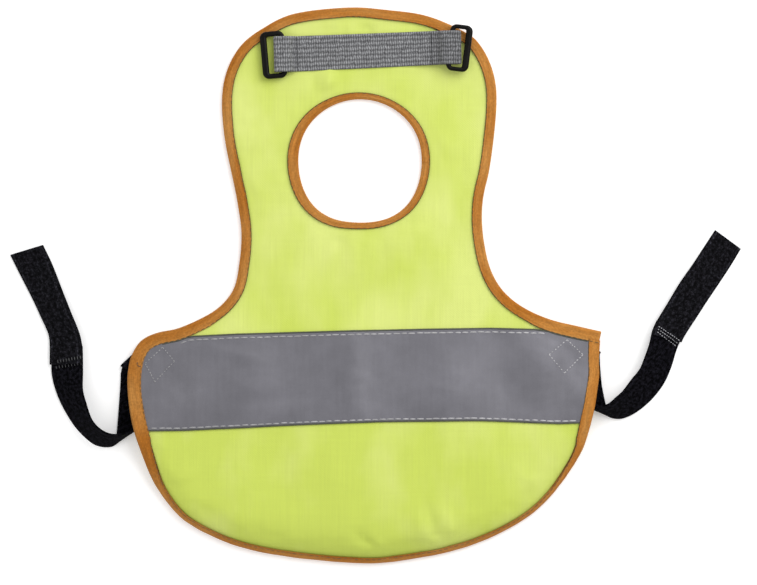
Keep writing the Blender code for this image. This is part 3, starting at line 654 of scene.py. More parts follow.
def panel_finish():
    finish = Finish("fluorescent_oxford", Roughness=0.62, Sheen_Weight=0.1, Sheen_Roughness=0.4,
                    Specular_IOR_Level=0.35)
    place = finish.place()
    x, y, _ = finish.axes(place)
    weave = finish.weave(place, 0.45, 0.5)
    yarns_up = finish.noise((1.6, 0.035, 0.02), 3.0, 0.6)
    yarns_across = finish.noise((0.03, 1.4, 0.02), 2.0, 0.6)
    cloudy = finish.noise((0.03, 0.018, 0.02), 3.0)
    # Painted light: the cloth is painted darker and deeper towards the hem, and paler to the right
    # on the yoke, where the sheen of the light falls.
    painted_light_up = finish.ramp(y, -150, -25, -0.16, 0.02)
    painted_light_right = finish.maths("MULTIPLY", finish.ramp(x, -70, 60, -0.03, 0.05),
                               finish.ramp(y, -60, 10, -0.6, 1.0))
    cloudy_and_painted_light = finish.maths("ADD", cloudy, finish.maths("ADD", painted_light_up, painted_light_right))
    base_colour = finish.mixed(finish.ramp(cloudy_and_painted_light, 0.36, 0.66, 0.0, 1.0),
                       (0.562, 0.668, 0.100, 1), (0.660, 0.740, 0.196, 1))
    # The first factor is painted shade, darkening the cloth near the hem where it curls down.
    finish.colour(base_colour,
                  (y, -151, -124, 0.86, 1.0),
                  (weave, -1, 1, 0.93, 1.05),
                  (yarns_up, 0.25, 0.75, 0.95, 1.05),
                  (yarns_across, 0.25, 0.75, 0.975, 1.025))
    finish.bumps((weave, 0.5, 0.10), (yarns_up, 0.35, 0.12))
    return finish.material


def tape_finish():
    finish = Finish("orange_binding", True, Roughness=0.75, Specular_IOR_Level=0.12)
    turned = finish.add("Mapping", {"Vector": finish.place(),
                                    "Rotation": (0, 0, math.radians(45))})
    weave = finish.weave(turned, 0.42, 0.42)
    slubs = finish.noise((0.16, 0.9, 1), 3.0, 0.65)
    flecks_and_glints = finish.noise((0.8, 1.1, 1), 2.0, 0.6)
    worn = finish.noise((0.022, 0.12, 1))
    base_colour = finish.mixed(finish.ramp(worn, 0.36, 0.64, 0.0, 1.0),
                       (0.402, 0.140, 0.016, 1), (0.500, 0.225, 0.052, 1))
    along_vest = finish.axes(finish.add("TexCoord", output="Object"))[0]
    # The shade factor paints a dark shadow under the tape's inner lip and a highlight along its
    # rim.
    finish.colour(base_colour,
                  (weave, -1, 1, 0.86, 1.08),
                  (slubs, 0.25, 0.75, 0.80, 1.18),
                  (flecks_and_glints, 0.25, 0.75, 0.80, 1.18),
                  (along_vest, -120 * METRES, 120 * METRES, 0.97, 1.08),
                  finish.shade())
    finish.bumps((weave, 0.6, 0.12), (slubs, 0.5, 0.3))
    return finish.material


def band_finish():
    finish = Finish("reflective_grey", Roughness=0.40, Metallic=0.3, Specular_IOR_Level=0.4)
    place = finish.place()
    beads = finish.noise(place, 2.0, 0.7, scale=3.0)
    weave = finish.weave(place, 0.4, 0.4)
    cloudy = finish.noise((0.045, 0.05, 0.02), 4.0, 0.6)
    rubbed = finish.noise((0.5, 0.04, 0.02), 2.0, 0.6)
    finish.colour((0.150, 0.147, 0.166),
                  (beads, 0.2, 0.8, 0.88, 1.12),
                  (cloudy, 0.32, 0.68, 0.90, 1.11),
                  (rubbed, 0.25, 0.75, 0.96, 1.04))
    finish.bumps((beads, 0.3, 0.05), (weave, 0.3, 0.05))
    return finish.material


def webbing_finish():
    finish = Finish("grey_ribbed_webbing", True, Roughness=0.75, Sheen_Weight=0.1,
                    Sheen_Roughness=0.5, Specular_IOR_Level=0.2)
    place = finish.place()
    along, across, _ = finish.axes(place)
    uneven = finish.noise(place, 2.0, 0.6, scale=0.35)
    tones = []
    for part, pitch, low, drift in ((along, WEAVE_COLUMN, 0.36, 1.8),
                                    (across, WEAVE_ROW, 0.44, 2.4)):
        shifted = finish.maths("ADD", part, finish.maths("MULTIPLY", uneven, drift))
        swing = finish.maths("COSINE", finish.maths("MULTIPLY", shifted, 2 * math.pi / pitch))
        tones.append(finish.ramp(swing, -1, 1, low, 1.0))
    crossings = finish.maths("MULTIPLY", *tones)
    fibres = finish.noise((1.4, 2.4, 1), 3.0, 0.7)
    patches = finish.noise((0.3, 0.3, 1))
    # The shade factor paints a highlight at the webbing's folds, and light and shade on its tabs.
    finish.colour((0.325, 0.328, 0.340), crossings,
                  (fibres, 0.25, 0.75, 0.50, 1.50),
                  (patches, 0.3, 0.7, 0.85, 1.15),
                  finish.shade())
    finish.bumps((crossings, 0.8, 0.4), (fibres, 0.4, 0.12))
    return finish.material


def elastic_finish():
    finish = Finish("black_ribbed_elastic", True, Roughness=0.9, Specular_IOR_Level=0.03)
    place = finish.place()
    weave = finish.weave(place, 0.55, 0.8)
    fibres = finish.noise((1.0, 3.0, 1), 3.0, 0.7)
    # Lighter specks over the black: painted glints off its fibres.
    flecks_and_glints = finish.noise(place, 2.0, 0.6, scale=0.55)
    finish.colour((0.0022, 0.0021, 0.0030),
                  (weave, -1, 1, 0.6, 1.5),
                  (flecks_and_glints, 0.42, 0.66, 0.3, 3.4),
                  (fibres, 0.25, 0.75, 0.4, 1.9))
    finish.bumps((weave, 0.6, 0.15), (fibres, 0.5, 0.15))
    return finish.material


def nap_finish():
    finish = Finish("black_hook_and_loop_nap", True, Roughness=0.9, Specular_IOR_Level=0.06)
    place = finish.place()
    loops = finish.add("TexVoronoi", {"Vector": place, "Scale": 1.7})
    tufts = finish.noise(place, 4.0, 0.75, scale=0.8)
    # Lighter specks over the black: painted glints off its pile.
    flecks_and_glints = finish.noise(place, 2.0, 0.6, scale=0.5)
    rubbed = finish.noise((0.08, 0.5, 1), 3.0, 0.6)
    finish.colour((0.0040, 0.0039, 0.0050),
                  (loops, 0.0, 0.7, 1.8, 0.45),
                  (tufts, 0.3, 0.7, 0.15, 2.3),
                  (flecks_and_glints, 0.42, 0.66, 0.5, 2.8),
                  finish.shade(),
                  (rubbed, 0.3, 0.7, 0.75, 1.35))
    finish.bumps((loops, 0.7, 0.25), (tufts, 0.7, 0.35))
    return finish.material


def plastic_finish():
    finish = Finish("black_satin_plastic", Roughness=0.3, Specular_IOR_Level=0.10)
    grain = finish.noise((), 3.0, 0.6, scale=2.5)
    scuffs = finish.noise((0.25, 0.25, 0.25), 3.0, 0.6)
    finish.colour((0.0032, 0.0030, 0.0024), (scuffs, 0.3, 0.7, 0.8, 1.5))
    finish.feed(finish.shader.inputs["Roughness"], finish.ramp(scuffs, 0.3, 0.7, 0.24, 0.38))
    finish.bumps((grain, 0.25, 0.06))
    return finish.material


def thread_finish(name, colour, left=1.0, right=1.0):
    """Twisted thread, whose tone goes from `left` to `right` times its colour over the vest."""
    finish = Finish(name, Roughness=0.6, Sheen_Weight=0.1)
    place = finish.place()
    twist = finish.noise(place, 2.0, 0.6, scale=3.0)
    patches = finish.noise(place, 2.0, 0.6, scale=0.12)
    finish.colour(colour,
                  (twist, 0.3, 0.7, 0.75, 1.2),
                  (patches, 0.35, 0.65, 0.85, 1.15),
                  (finish.axes(place)[0], -120, 110, left, right))
    finish.bumps((twist, 0.5, 0.08))
    return finish.material


PANEL = panel_finish()
TAPE = tape_finish()
BAND = band_finish()
WEBBING = webbing_finish()
ELASTIC = elastic_finish()
NAP = nap_finish()
PLASTIC = plastic_finish()
GREY_THREAD = thread_finish("grey_thread", (0.37, 0.363, 0.375), 0.80, 1.25)
BROWN_THREAD = thread_finish("brown_thread", (0.105, 0.070, 0.018))
DARK_THREAD = thread_finish("dark_thread", (0.03, 0.028, 0.03))
CHARCOAL_THREAD = thread_finish("charcoal_thread", (0.045, 0.045, 0.048))
TAB_THREAD = thread_finish("tab_thread", (0.085, 0.085, 0.09))
# Near-black for the band's folded edges: partly the fold itself, partly painted shade along it.
EDGE_SHADE = thread_finish("folded_edge_painted_shade", (0.052, 0.056, 0.040))
SILVER_THREAD = thread_finish("silver_thread", (0.33, 0.33, 0.35))


def cloth_relief(points, outline, neck):
    """Height that the fine creases and puckers add to the cloth."""
    x, y = points[:, 0], points[:, 1]
    edge = np.minimum(plan_distance(points, outline), plan_distance(points, neck))
    height = np.zeros(len(points))
    for cx, cy, heading, length, width, ridge in CREASE_ROWS:
        turn = math.radians(heading)
        dx, dy = x - cx, y - cy
        along = (dx * math.cos(turn) + dy * math.sin(turn)) / length
        across = (dy * math.cos(turn) - dx * math.sin(turn)) / width
        height += CREASE_STRENGTH * ridge * np.exp(-along ** 2 - across ** 2)
    puckers = noise_at(x / PUCKER_SIZE, y / PUCKER_SIZE, PUCKER_LEVEL)
    drape = noise_at(x / DRAPE_SIZE, y / DRAPE_SIZE, DRAPE_LEVEL)
    near_edge = np.exp(-((edge - RELIEF_STARTS) / PUCKER_REACH) ** 2)
    height += PUCKER_HEIGHT * puckers * near_edge + DRAPE_HEIGHT * drape
    return height * smooth_step((edge - RELIEF_STARTS) / (RELIEF_FULL - RELIEF_STARTS))


def refined_panel():
    """The panel's mesh as fine, smooth cloth, the faces under the band, and the band's outline."""
    shape = node_shape("body_panel")
    points = places(shape)
    top = upper_region(shape)
    outline, neck = (points[loop] for loop in loops_along(rim_edges(shape, top)))
    band_shape = node_shape("reflective_band")
    band_loop = loops_along(rim_edges(band_shape, upper_region(band_shape)))[0]
    band_outline = places(band_shape)[band_loop]
    for face in shape.faces:
        centre = np.array([face.calc_center_median()[:]])
        face.material_index = int(face in top and inside(band_outline, centre)[0])
    crease = shape.edges.layers.float.new("crease_edge")
    corner = shape.verts.layers.float.new("crease_vert")
    borders = set()
    for edge in shape.edges:
        border = len({face.material_index for face in edge.link_faces}) > 1
        edge[crease] = float(border or edge.calc_face_angle() > SHARP)
        if border:
            borders.add(edge)
    for vert in shape.verts:
        ways = [(edge.other_vert(vert).co - vert.co).normalized() for edge in vert.link_edges
                if edge in borders]
        vert[corner] = float(len(ways) == 2 and ways[0].dot(ways[1]) > BAND_CORNER)
    coarse = bpy.data.meshes.new("coarse_panel")
    shape.to_mesh(coarse)
    shape.free()
    holder = placed("coarse_panel", coarse)
    finer = holder.modifiers.new("finer", "SUBSURF")
    finer.levels = finer.render_levels = 2
    depsgraph = bpy.context.evaluated_depsgraph_get()
    fine = bpy.data.meshes.new_from_object(holder.evaluated_get(depsgraph))
    bpy.data.objects.remove(holder, do_unlink=True)

    count = len(fine.vertices)
    points = np.array([vert.co[:] for vert in fine.vertices])
    edges = np.array([edge.vertices[:] for edge in fine.edges])
    rim = np.minimum(plan_distance(points, outline), plan_distance(points, neck))
    loose = smooth_step((rim - LOOSE_STARTS) / (LOOSE_FULL - LOOSE_STARTS))
    links = np.bincount(edges.ravel(), minlength=count)
    for _ in range(SMOOTHING_ROUNDS):
        total = np.bincount(edges[:, 0], points[edges[:, 1], 2], count)
        total += np.bincount(edges[:, 1], points[edges[:, 0], 2], count)
        points[:, 2] += loose * 0.5 * (total / links - points[:, 2])
    points[:, 2] += cloth_relief(points, outline, neck)
    faces = [tuple(face.vertices) for face in fine.polygons]
    on_band = [face.material_index == 1 for face in fine.polygons]
    return points, faces, on_band, band_outline


def vertex_normals(points, faces):
    normals = np.zeros_like(points)
    corners = np.array(faces)
    diagonals = (points[corners[:, 2]] - points[corners[:, 0]],
                 points[corners[:, 3]] - points[corners[:, 1]])
    face_normals = np.cross(*diagonals)
    for k in range(4):
        np.add.at(normals, corners[:, k], face_normals)
    return unit(normals)


def layer_over(points, faces, low, high):
    """A layer that follows some of the panel's faces, between two heights above them."""
    used = np.unique(np.array(faces))
    number = np.full(len(points), -1)
    number[used] = np.arange(len(used))
    own = number[np.array(faces)]
    base = points[used]
    normals = vertex_normals(base, own)
    normals *= np.sign(normals[:, 2:])
    rim, count = {}, len(used)
    solid = []
    for face in own.tolist():
        solid.append(tuple(face[::-1]))
        solid.append(tuple(index + count for index in face))
        for a, b in zip(face, face[1:] + face[:1]):
            if (b, a) in rim:
                del rim[(b, a)]
            else:
                rim[(a, b)] = True
    solid.extend((a, b, b + count, a + count) for a, b in rim)
    return np.vstack([base + normals * low, base + normals * high]), solid


PANEL_POINTS, PANEL_FACES, ON_BAND, BAND_OUTLINE = refined_panel()
panel = make_piece("panel_cloth", PANEL_POINTS, PANEL_FACES, PANEL)
band_faces = [face for face, on_band in zip(PANEL_FACES, ON_BAND) if on_band]
band_points, band_solid = layer_over(PANEL_POINTS, band_faces, SEAM_GAP, SEAM_GAP + BAND_THICKNESS)
band = make_piece("reflective_band_tape", band_points, band_solid, BAND)
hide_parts("body_panel")
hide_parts("reflective_band")


def lapped(sections):
    """A tape's sections with the end that lies furthest down the vest carried on past itself."""
    down_first = sections[0, :, 1].mean() < sections[-1, :, 1].mean()
    end, before = (sections[0], sections[1]) if down_first else (sections[-1], sections[-2])
    way = (end - before).mean(axis=0)
    added = end + TAPE_LAP * unit(way) + (0, 0, TAPE_LAP_RISE)
    if down_first:
        return np.concatenate([added[None], sections])
    return np.concatenate([sections, added[None]])


def tape_piece(name, sections, closed, ripple_level):
    """A folded tape with a rounded rim and a thin inner edge, and its rows of points."""
    ordered = in_tape_order(sections)
    if not closed:
        ordered = lapped(ordered)
    rows = carried_along(ordered, TAPE_SPACING, closed)
    count = len(rows)
    rim_low, rim_high = rows[:, 4], rows[:, 5]
    up = (rim_high - rim_low) / (TAPE_TOP - TAPE_LOW - 2 * TAPE_BEVEL)
    width = 2 * np.linalg.norm(rows[:, 8] - rows[:, 7], axis=1)
    nodes = np.stack([np.zeros_like(width), np.full_like(width, TAPE_BEVEL), width / 2, width], 1)
    tops = np.stack([rim_high + TAPE_BEVEL * up, rows[:, 6], rows[:, 7], rows[:, 8]], axis=1)
    lows = np.stack([rim_low - TAPE_BEVEL * up, rows[:, 3], rows[:, 2], rows[:, 1]], axis=1)
    middle = rows.mean(axis=1)
    distance = walked(middle, closed)[:count]
    by_band = (smooth_step((middle[:, 1] - BAND_FROM_Y) / BAND_EASE)
               * smooth_step((BAND_TO_Y - middle[:, 1]) / BAND_EASE))
    at_hem = smooth_step((HEM_BELOW_Y - middle[:, 1]) / HEM_EASE)
    trim = LIP_TRIM * (1 - by_band) + HEM_TRIM * at_hem
    skin, uvs, around = [], [], 0.0
    for share, offset, height, _ in TAPE_SECTION:
        inwards = share * (width - trim) + offset
        weights = np.ones((count, 4))
        for i in range(4):
            for j in range(4):
                if i != j:
                    weights[:, i] *= (inwards - nodes[:, j]) / (nodes[:, i] - nodes[:, j])
        top = (tops * weights[..., None]).sum(axis=1)
        low = (lows * weights[..., None]).sum(axis=1)
        rise = (height - TAPE_LOW) / (TAPE_TOP - TAPE_LOW)
        place = low + (top - low) * rise
        if height > RIPPLE_ABOVE:
            ripples = noise_at(distance / RIPPLE_ALONG, inwards[0] / RIPPLE_ACROSS, ripple_level)
            pulls = np.cos(2 * math.pi * distance / TAPE_STITCH[0])
            from_stitches = (inwards.mean() - width.mean() + STITCH_INSET) / PULL_REACH
            near_stitches = math.exp(-from_stitches ** 2)
            amount = RIPPLE_HEIGHT * ripples + PULL_HEIGHT * pulls * near_stitches
            place = place + unit(top - low) * amount[:, None]
        if skin:
            around += float(np.linalg.norm(place - skin[-1], axis=1).mean())
        skin.append(place)
        uvs.append(np.column_stack([distance, np.full(count, around)]))
    skin = np.stack(skin, axis=1)
    uvs = np.stack(uvs, axis=1).reshape(-1, 2) * METRES
    faces = tube_faces(count, len(TAPE_SECTION), closed)
    # Painted light from the section's shade column: a dark painted shadow under the inner lip and a
    # painted highlight on the rim.
    darker = 1 - np.array([corner[3] for corner in TAPE_SECTION])
    lighter = HEM_LIGHT * at_hem + LEFT_LIGHT * by_band * (middle[:, 0] < 0)
    shade = (1 - darker * (1 - lighter[:, None])).ravel()
    piece = make_piece(name, skin.reshape(-1, 3), faces, TAPE, uvs, shade=shade)
    return piece, skin


edge_tape, edge_skin = tape_piece(
    "edge_binding_tape", open_sections("edge_binding", TAPE_CORNERS), False, 1.7)
neck_tape, neck_skin = tape_piece(
    "neck_binding_tape", round_sections("neck_binding", NECK_CENTRE, NECK_STATIONS), True, 5.2)
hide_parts("edge_binding")
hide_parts("neck_binding")


def rounded_off(edge, other):
    """One edge of a strap, drawn in towards the other edge near the folded corner."""
    near = np.clip(CORNER_REACH - np.linalg.norm(edge[:, :2] - FOLDED_CORNER, axis=1), 0, None)
    return edge + unit(other - edge) * (CORNER_PULL * near)[:, None]


def tape_shade(middle, distance):
    """A paler line along each side of a fastening tape, where its pile ends."""
    width = np.linalg.norm(middle[:, -1] - middle[:, 0], axis=1).mean()
    across = np.linalg.norm(middle[0] - middle[0, 0], axis=1) / width
    from_side = width * np.minimum(across, 1 - across)
    shade = 1 + BORDER_LIGHT * np.exp(-((from_side - BORDER_INSET) / BORDER_WIDTH) ** 2)
    return np.broadcast_to(shade, middle.shape[:2])


def webbing_shade(middle, distance):
    """A painted highlight where the webbing folds back, and its tabs painted a little lighter on
    the left and darker on the right, as they face the light.
    """
    x = middle[:, middle.shape[1] // 2, 0]
    shade = np.ones(len(x))
    shade[x < TAB_LEFT[0]] *= TAB_LEFT[1]
    shade[x > TAB_RIGHT[0]] *= TAB_RIGHT[1]
    for fold in (x.argmin(), x.argmax()):
        shade += FOLD_HIGHLIGHT * np.exp(-((distance - distance[fold]) / FOLD_WIDTH) ** 2)
    return np.broadcast_to(shade[:, None], middle.shape[:2])


def strap_piece(name, node, mesh, relief, finish, shading=None):
    """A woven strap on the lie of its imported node, with rounded edges and ribs."""
    spacing, columns = mesh
    rows = carried_along(open_sections(node, STRAP_CORNERS), spacing)
    sides = np.linalg.norm(rows - np.roll(rows, -1, axis=1), axis=2).mean(axis=0)
    if sides[0] < sides[1]:
        rows = np.roll(rows, -1, axis=1)
    first = (rows[:, 0] + rows[:, 3]) / 2
    second = (rows[:, 1] + rows[:, 2]) / 2
    near, far = rounded_off(first, second), rounded_off(second, first)
    half = (rows[:, 0] - rows[:, 3] + rows[:, 1] - rows[:, 2]) / 4
    across = np.concatenate([STRAP_EDGE, np.linspace(*STRAP_FLAT, columns),
                             1 - np.array(STRAP_EDGE[::-1])])
    fullness = (1 - np.abs(2 * across - 1) ** EDGE_SQUARENESS) ** EDGE_ROUNDNESS
    middle = near[:, None] + (far - near)[:, None] * across[None, :, None]
    distance = walked((near + far) / 2)
    width = np.linalg.norm(far - near, axis=1).mean()
    rib = relief(distance[:, None], across[None, :] * width)
    thickness = half[:, None] * (fullness[None, :] * rib)[..., None]
    upper, lower = middle + thickness, middle - thickness
    skin = np.concatenate([upper, lower[:, ::-1]], axis=1)
    uv = np.stack(np.broadcast_arrays(distance[:, None], across[None, :] * width), axis=2)
    uvs = np.concatenate([uv, uv[:, ::-1]], axis=1) * METRES
    size = skin.shape[1]
    faces = tube_faces(len(rows), size, closed=False)[:-2]
    for start in (0, (len(rows) - 1) * size):
        for k in range(size // 2 - 1):
            faces.append((start + k, start + k + 1, start + size - 2 - k, start + size - 1 - k))
    shade = None
    if shading is not None:
        one_face = shading(middle, distance)
        shade = np.concatenate([one_face, one_face[:, ::-1]], axis=1).ravel()
    piece = make_piece(name, skin.reshape(-1, 3), faces, finish, uvs.reshape(-1, 2),
                       shade=shade)
    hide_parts(node)
    return piece


def wave(distance, pitch):
    return np.cos(2 * math.pi * distance / pitch)


def ribbed(along, across):
    """Webbing: rounded ribs along the strip, crossed by yarns."""
    rib = 0.5 + 0.5 * wave(across, WEAVE_ROW)
    yarn = 0.5 + 0.5 * wave(along, WEAVE_COLUMN)
    return 0.72 + 0.14 * rib + 0.14 * yarn


def narrow_ribs(along, across):
    """Elastic: fine ribs across, over faint ribs along."""
    return 0.93 + 0.05 * wave(along, RIB_ALONG) + 0.02 * wave(across, RIB_ACROSS)


def napped(along, across):
    """Hook and loop tape: an even pile with plain edges."""
    plain = np.minimum(across, across.max() - across) < PLAIN_EDGE
    return np.where(plain, 0.72, 0.94) + 0 * along


webbing = strap_piece("webbing_tape", "webbing_strip", WEBBING_MESH, ribbed, WEBBING,
                      webbing_shade)
straps = {}
for side in ("left", "right"):
    straps[side] = (
        strap_piece(f"elastic_{side}", f"strap_elastic_{side}", ELASTIC_MESH, narrow_ribs, ELASTIC),
        strap_piece(f"hook_tape_{side}", f"strap_tape_{side}", HOOK_MESH, napped, NAP,
                    tape_shade),
    )


def stitch_rings(centres, normals, thickness):
    """One stitch: a short thread that dips at its two ends."""
    arch = np.sin(math.pi * np.linspace(0, 1, len(centres))) ** ARCH_POWER
    centres = centres + normals * (thickness * (ARCH_RISE * arch - ARCH_SINK))[:, None]
    way = unit(np.gradient(centres, axis=0))
    side = unit(np.cross(way, normals))
    up = np.cross(side, way)
    radius = thickness / 2 * (THREAD_ENDS + (1 - THREAD_ENDS) * arch)
    turns = np.linspace(0, 2 * math.pi, THREAD_SIDES, endpoint=False)[:, None]
    return (centres[:, None] + radius[:, None, None]
            * (side[:, None] * np.cos(turns) + up[:, None] * np.sin(turns)))


def read_at(marks, distance, rows):
    """Rows that are known at distances along a line, read at other distances."""
    return np.stack([np.interp(marks, distance, column) for column in rows.T], 1)


def stitches(name, rows, kind, finish):
    """A sewn row along each line of points and normals, as one piece."""
    pitch, length, thickness, uneven = kind
    points, faces = [], []
    chance = np.random.default_rng(len(rows) + int(10 * length))
    for line, normals in rows:
        distance = walked(line)
        count = max(1, round((distance[-1] - length) / pitch) + 1)
        for start in np.linspace(0, distance[-1] - length, count):
            ends = chance.uniform(-uneven, uneven, 2)
            marks = np.linspace(start + ends[0], start + length + ends[1], STITCH_POINTS)
            centres = read_at(marks, distance, line)
            centres[:, :2] += SIDEWAYS * chance.uniform(-uneven, uneven, 2)
            leans = read_at(marks, distance, normals)
            add_tube(points, faces, stitch_rings(centres, leans, thickness))
    return make_piece(name, np.array(points), faces, finish)


def settled(line, *pieces):
    """A plan line laid on the highest of some pieces: its points and the normals there."""
    line = np.asarray(line, float)
    distance = walked(line)
    marks = np.linspace(0, distance[-1], max(2, math.ceil(distance[-1] / SETTLE_STEP)))
    depsgraph = bpy.context.evaluated_depsgraph_get()
    trees = [BVHTree.FromObject(piece, depsgraph) for piece in pieces]
    down = Vector((0, 0, -1))
    points, normals = [], []
    for x, y in read_at(marks, distance, line) * METRES:
        hits = [tree.ray_cast(Vector((x, y, SETTLE_FROM)), down)[:2] for tree in trees]
        hits = [hit for hit in hits if hit[0] is not None]
        if hits:
            spot, normal = max(hits, key=lambda hit: hit[0].z)
            points.append(spot / METRES)
            normals.append(normal)
    return np.array(points), np.array(normals)


def band_sides():
    """The band's top and bottom edges as plan lines, left to right, from its outline."""
    plan = BAND_OUTLINE[:, :2]
    lines = []
    for top in (1, -1):
        left, right = (int((side * plan[:, 0] * X_WEIGHT + top * plan[:, 1]).argmax())
                       for side in (-1, 1))
        ways = [np.roll(plan, -first, axis=0)[:(last - first) % len(plan) + 1]
                for first, last in ((left, right), (right, left))]
        line = min(ways, key=lambda way: np.ptp(way[:, 1]) + len(way) * POINT_WEIGHT)
        lines.append(line if line[0, 0] < line[-1, 0] else line[::-1])
    return lines


def edging(name, rows, finish):
    """The rounded fold along an edge of a tape, as one thin roll for each line, which in a dark
    finish also paints the shade along that edge.
    """
    points, faces = [], []
    turns = np.linspace(0, 2 * math.pi, ROLL_SIDES, endpoint=False)[:, None]
    for line, normals in rows:
        side = unit(np.cross(np.gradient(line, axis=0), normals))
        add_tube(points, faces, line[:, None] + ROLL_THICKNESS / 2 * side[:, None] * np.cos(turns)
                 + ROLL_THICKNESS / 4 * normals[:, None] * np.sin(turns))
    return make_piece(name, np.array(points), faces, finish)


def between_x(line, limits):
    """The part of a plan line that lies between two places in x."""
    x = np.linspace(*limits, ROW_POINTS)
    return np.column_stack([x, np.interp(x, line[:, 0], line[:, 1])])


top_side, low_side = band_sides()
band_rows = [settled(between_x(top_side, TOP_STITCH_X) - (0, TOP_STITCH_INSET), band),
             settled(between_x(low_side, LOW_STITCH_X) + (0, LOW_STITCH_INSET), band)]
band_stitches = stitches("band_topstitch", band_rows, BAND_STITCH, GREY_THREAD)
# Dark rolls on the band's top and bottom edges: its folds, darkened into painted shade.
band_edges = edging("band_edge_folds_painted_shade", [settled(top_side - (0, ROLL_OUT), band),
                                        settled(low_side + (0, ROLL_OUT), band)],
                    EDGE_SHADE)
diamond_rows = []
for diamond in (DIAMOND_LEFT, DIAMOND_RIGHT):
    for start, end in zip(diamond, diamond[1:] + diamond[:1]):
        diamond_rows.append(settled((start, end), band))
box_stitches = stitches("strap_box_stitches", diamond_rows, BOX_STITCH, GREY_THREAD)


def skin_row(skin, closed):
    """The line that a tape's stitches follow, with the normals there."""
    line = skin[:, STITCHED_CORNER]
    along = np.gradient(line, axis=0)
    aside = skin[:, STITCHED_CORNER + 1] - skin[:, STITCHED_CORNER - 1]
    normals = unit(np.cross(along, aside))
    normals *= np.sign(normals[:, 2:])
    if closed:
        line, normals = (np.concatenate([rows, rows[:1]]) for rows in (line, normals))
    return line, normals


edge_stitches = stitches("edge_binding_stitches", [skin_row(edge_skin, False)], TAPE_STITCH,
                         BROWN_THREAD)
neck_stitches = stitches("neck_binding_stitches", [skin_row(neck_skin, True)], TAPE_STITCH,
                         BROWN_THREAD)
corner_marks = stitches("corner_thread_marks", [settled(CORNER_THREAD, edge_tape)], CORNER_STITCH,
                        DARK_THREAD)
tail = settled(THREAD_TAIL, neck_tape)
thread_tail = stitches("thread_tail", [tail], (SINGLE, walked(tail[0])[-1], TAIL_THICKNESS, 0.0),
                       DARK_THREAD)

left_lines = []
for start, end in np.array(LEFT_BARS):
    way = unit(end - start)
    bar_way = np.array((-way[1], way[0])) * BAR_LENGTH / 2
    left_lines.extend((middle - bar_way, middle + bar_way)
                      for middle in np.linspace(start, end, BAR_COUNT))
right_lines = np.linspace(RIGHT_FIRST_ROW, RIGHT_LAST_ROW, RIGHT_ROWS)
strap_stitches = {
    side: stitches(f"strap_stitches_{side}", [settled(line, *straps[side]) for line in lines],
                   kind, thread)
    for side, lines, kind, thread in (("left", left_lines, BAR_STITCH, CHARCOAL_THREAD),
                                      ("right", right_lines, LAP_STITCH, SILVER_THREAD))
}
tab_stitches = stitches("tab_end_stitches", [settled(line, webbing) for line in TAB_LINES],
                        TAB_STITCH, TAB_THREAD)


def rounded_corners(low_x, high_x, half_y, radius):
    """Plan points round a rectangle, with as many at each corner and along each side."""
    corners = []
    for corner, (side_x, side_y) in enumerate(((1, 1), (-1, 1), (-1, -1), (1, -1))):
        x = high_x - radius if side_x > 0 else low_x + radius
        turns = math.pi / 2 * (corner + np.linspace(0, 1, CORNER_POINTS + 1))
        corners.append(np.column_stack([x + radius * np.cos(turns),
                                        side_y * (half_y - radius) + radius * np.sin(turns)]))
    points = []
    for corner in range(4):
        share = np.linspace(0, 1, SIDE_POINTS, endpoint=False)[1:, None]
        here, there = corners[corner][-1], corners[(corner + 1) % 4][0]
        points.extend([corners[corner], here + (there - here) * share])
    return np.concatenate(points)


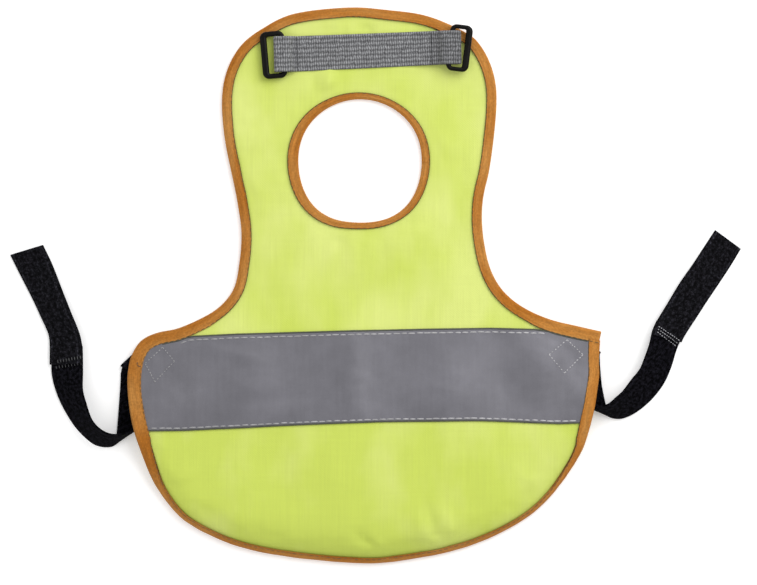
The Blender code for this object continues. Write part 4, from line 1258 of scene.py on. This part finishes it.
def ring_piece(name, body, middle, heading, length, reach, arm, outer_bar):
    """A ring on its own body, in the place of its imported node."""
    outer = rounded_corners(-RING_BAR / 2, reach, length / 2, RING_CORNER)
    inner = rounded_corners(RING_BAR / 2, reach - outer_bar, length / 2 - arm, RING_INNER_CORNER)
    turns = np.linspace(0, 2 * math.pi, BAR_POINTS, endpoint=False)
    cosine, sine = np.cos(turns), np.sin(turns)
    swell = np.abs(cosine) ** RING_SQUARENESS + np.abs(sine) ** RING_SQUARENESS
    swell = swell ** (-1 / RING_SQUARENESS)
    centre, half = (outer + inner) / 2, (outer - inner) / 2
    plan = centre[:, None] + half[:, None] * (cosine * swell)[None, :, None]
    heights = np.broadcast_to(RING_BAR / 2 * sine * swell, plan.shape[:2])[..., None]
    skin = np.concatenate([plan, heights], axis=2)
    turn = math.radians(heading)
    spin = np.array([[math.cos(turn), -math.sin(turn), 0], [math.sin(turn), math.cos(turn), 0],
                     [0, 0, 1]])
    points = skin.reshape(-1, 3) @ spin.T + np.array(middle)
    faces = tube_faces(len(outer), BAR_POINTS, closed=True)
    ring = make_piece(f"{name}_plastic", points, faces, PLASTIC, body=body)
    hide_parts(name)


for row in RING_ROWS:
    ring_piece(*row)

floor_finish = Finish("pale_floor", Roughness=0.9, Specular_IOR_Level=0.1,
                      Emission_Color=(1, 1, 1, 1), Emission_Strength=0.2)
floor_tone = floor_finish.noise((0.01, 0.01, 0.01))
floor_finish.colour((0.98, 0.98, 0.98), (floor_tone, 0.3, 0.7, 0.995, 1.005))
floor_mesh = bpy.data.meshes.new("floor")
reach = FLOOR_SIZE / 2 * METRES
floor_mesh.from_pydata([(-reach, -reach, 0), (reach, -reach, 0), (reach, reach, 0),
                        (-reach, reach, 0)], [], [(0, 1, 2, 3)])
floor_mesh.materials.append(floor_finish.material)
floor = placed("floor", floor_mesh)
floor.location.z = -FLOOR_DROP * METRES

world = bpy.data.worlds.new("studio")
world.use_nodes = True
background = world.node_tree.nodes["Background"]
background.inputs["Color"].default_value = (1, 1, 1, 1)
background.inputs["Strength"].default_value = SKY_STRENGTH
bpy.context.scene.world = world

for name, place, size, watts in LIGHTS:
    data = bpy.data.lights.new(name, "AREA")
    data.shape = "DISK"
    data.size = size
    data.energy = watts
    light = placed(name, data)
    light.location = place
    light.rotation_euler = (-Vector(place)).to_track_quat("-Z", "Y").to_euler()

camera_data = bpy.data.cameras.new("overhead")
camera_data.lens = LENS
camera_data.sensor_width = SENSOR
camera_data.clip_end = SIGHT
camera = placed("overhead", camera_data)
camera.location = Vector((CAMERA_X, CAMERA_Y, PHOTO_WIDTH / SENSOR * LENS)) * METRES
bpy.context.scene.camera = camera
bpy.context.scene.view_settings.view_transform = "Standard"
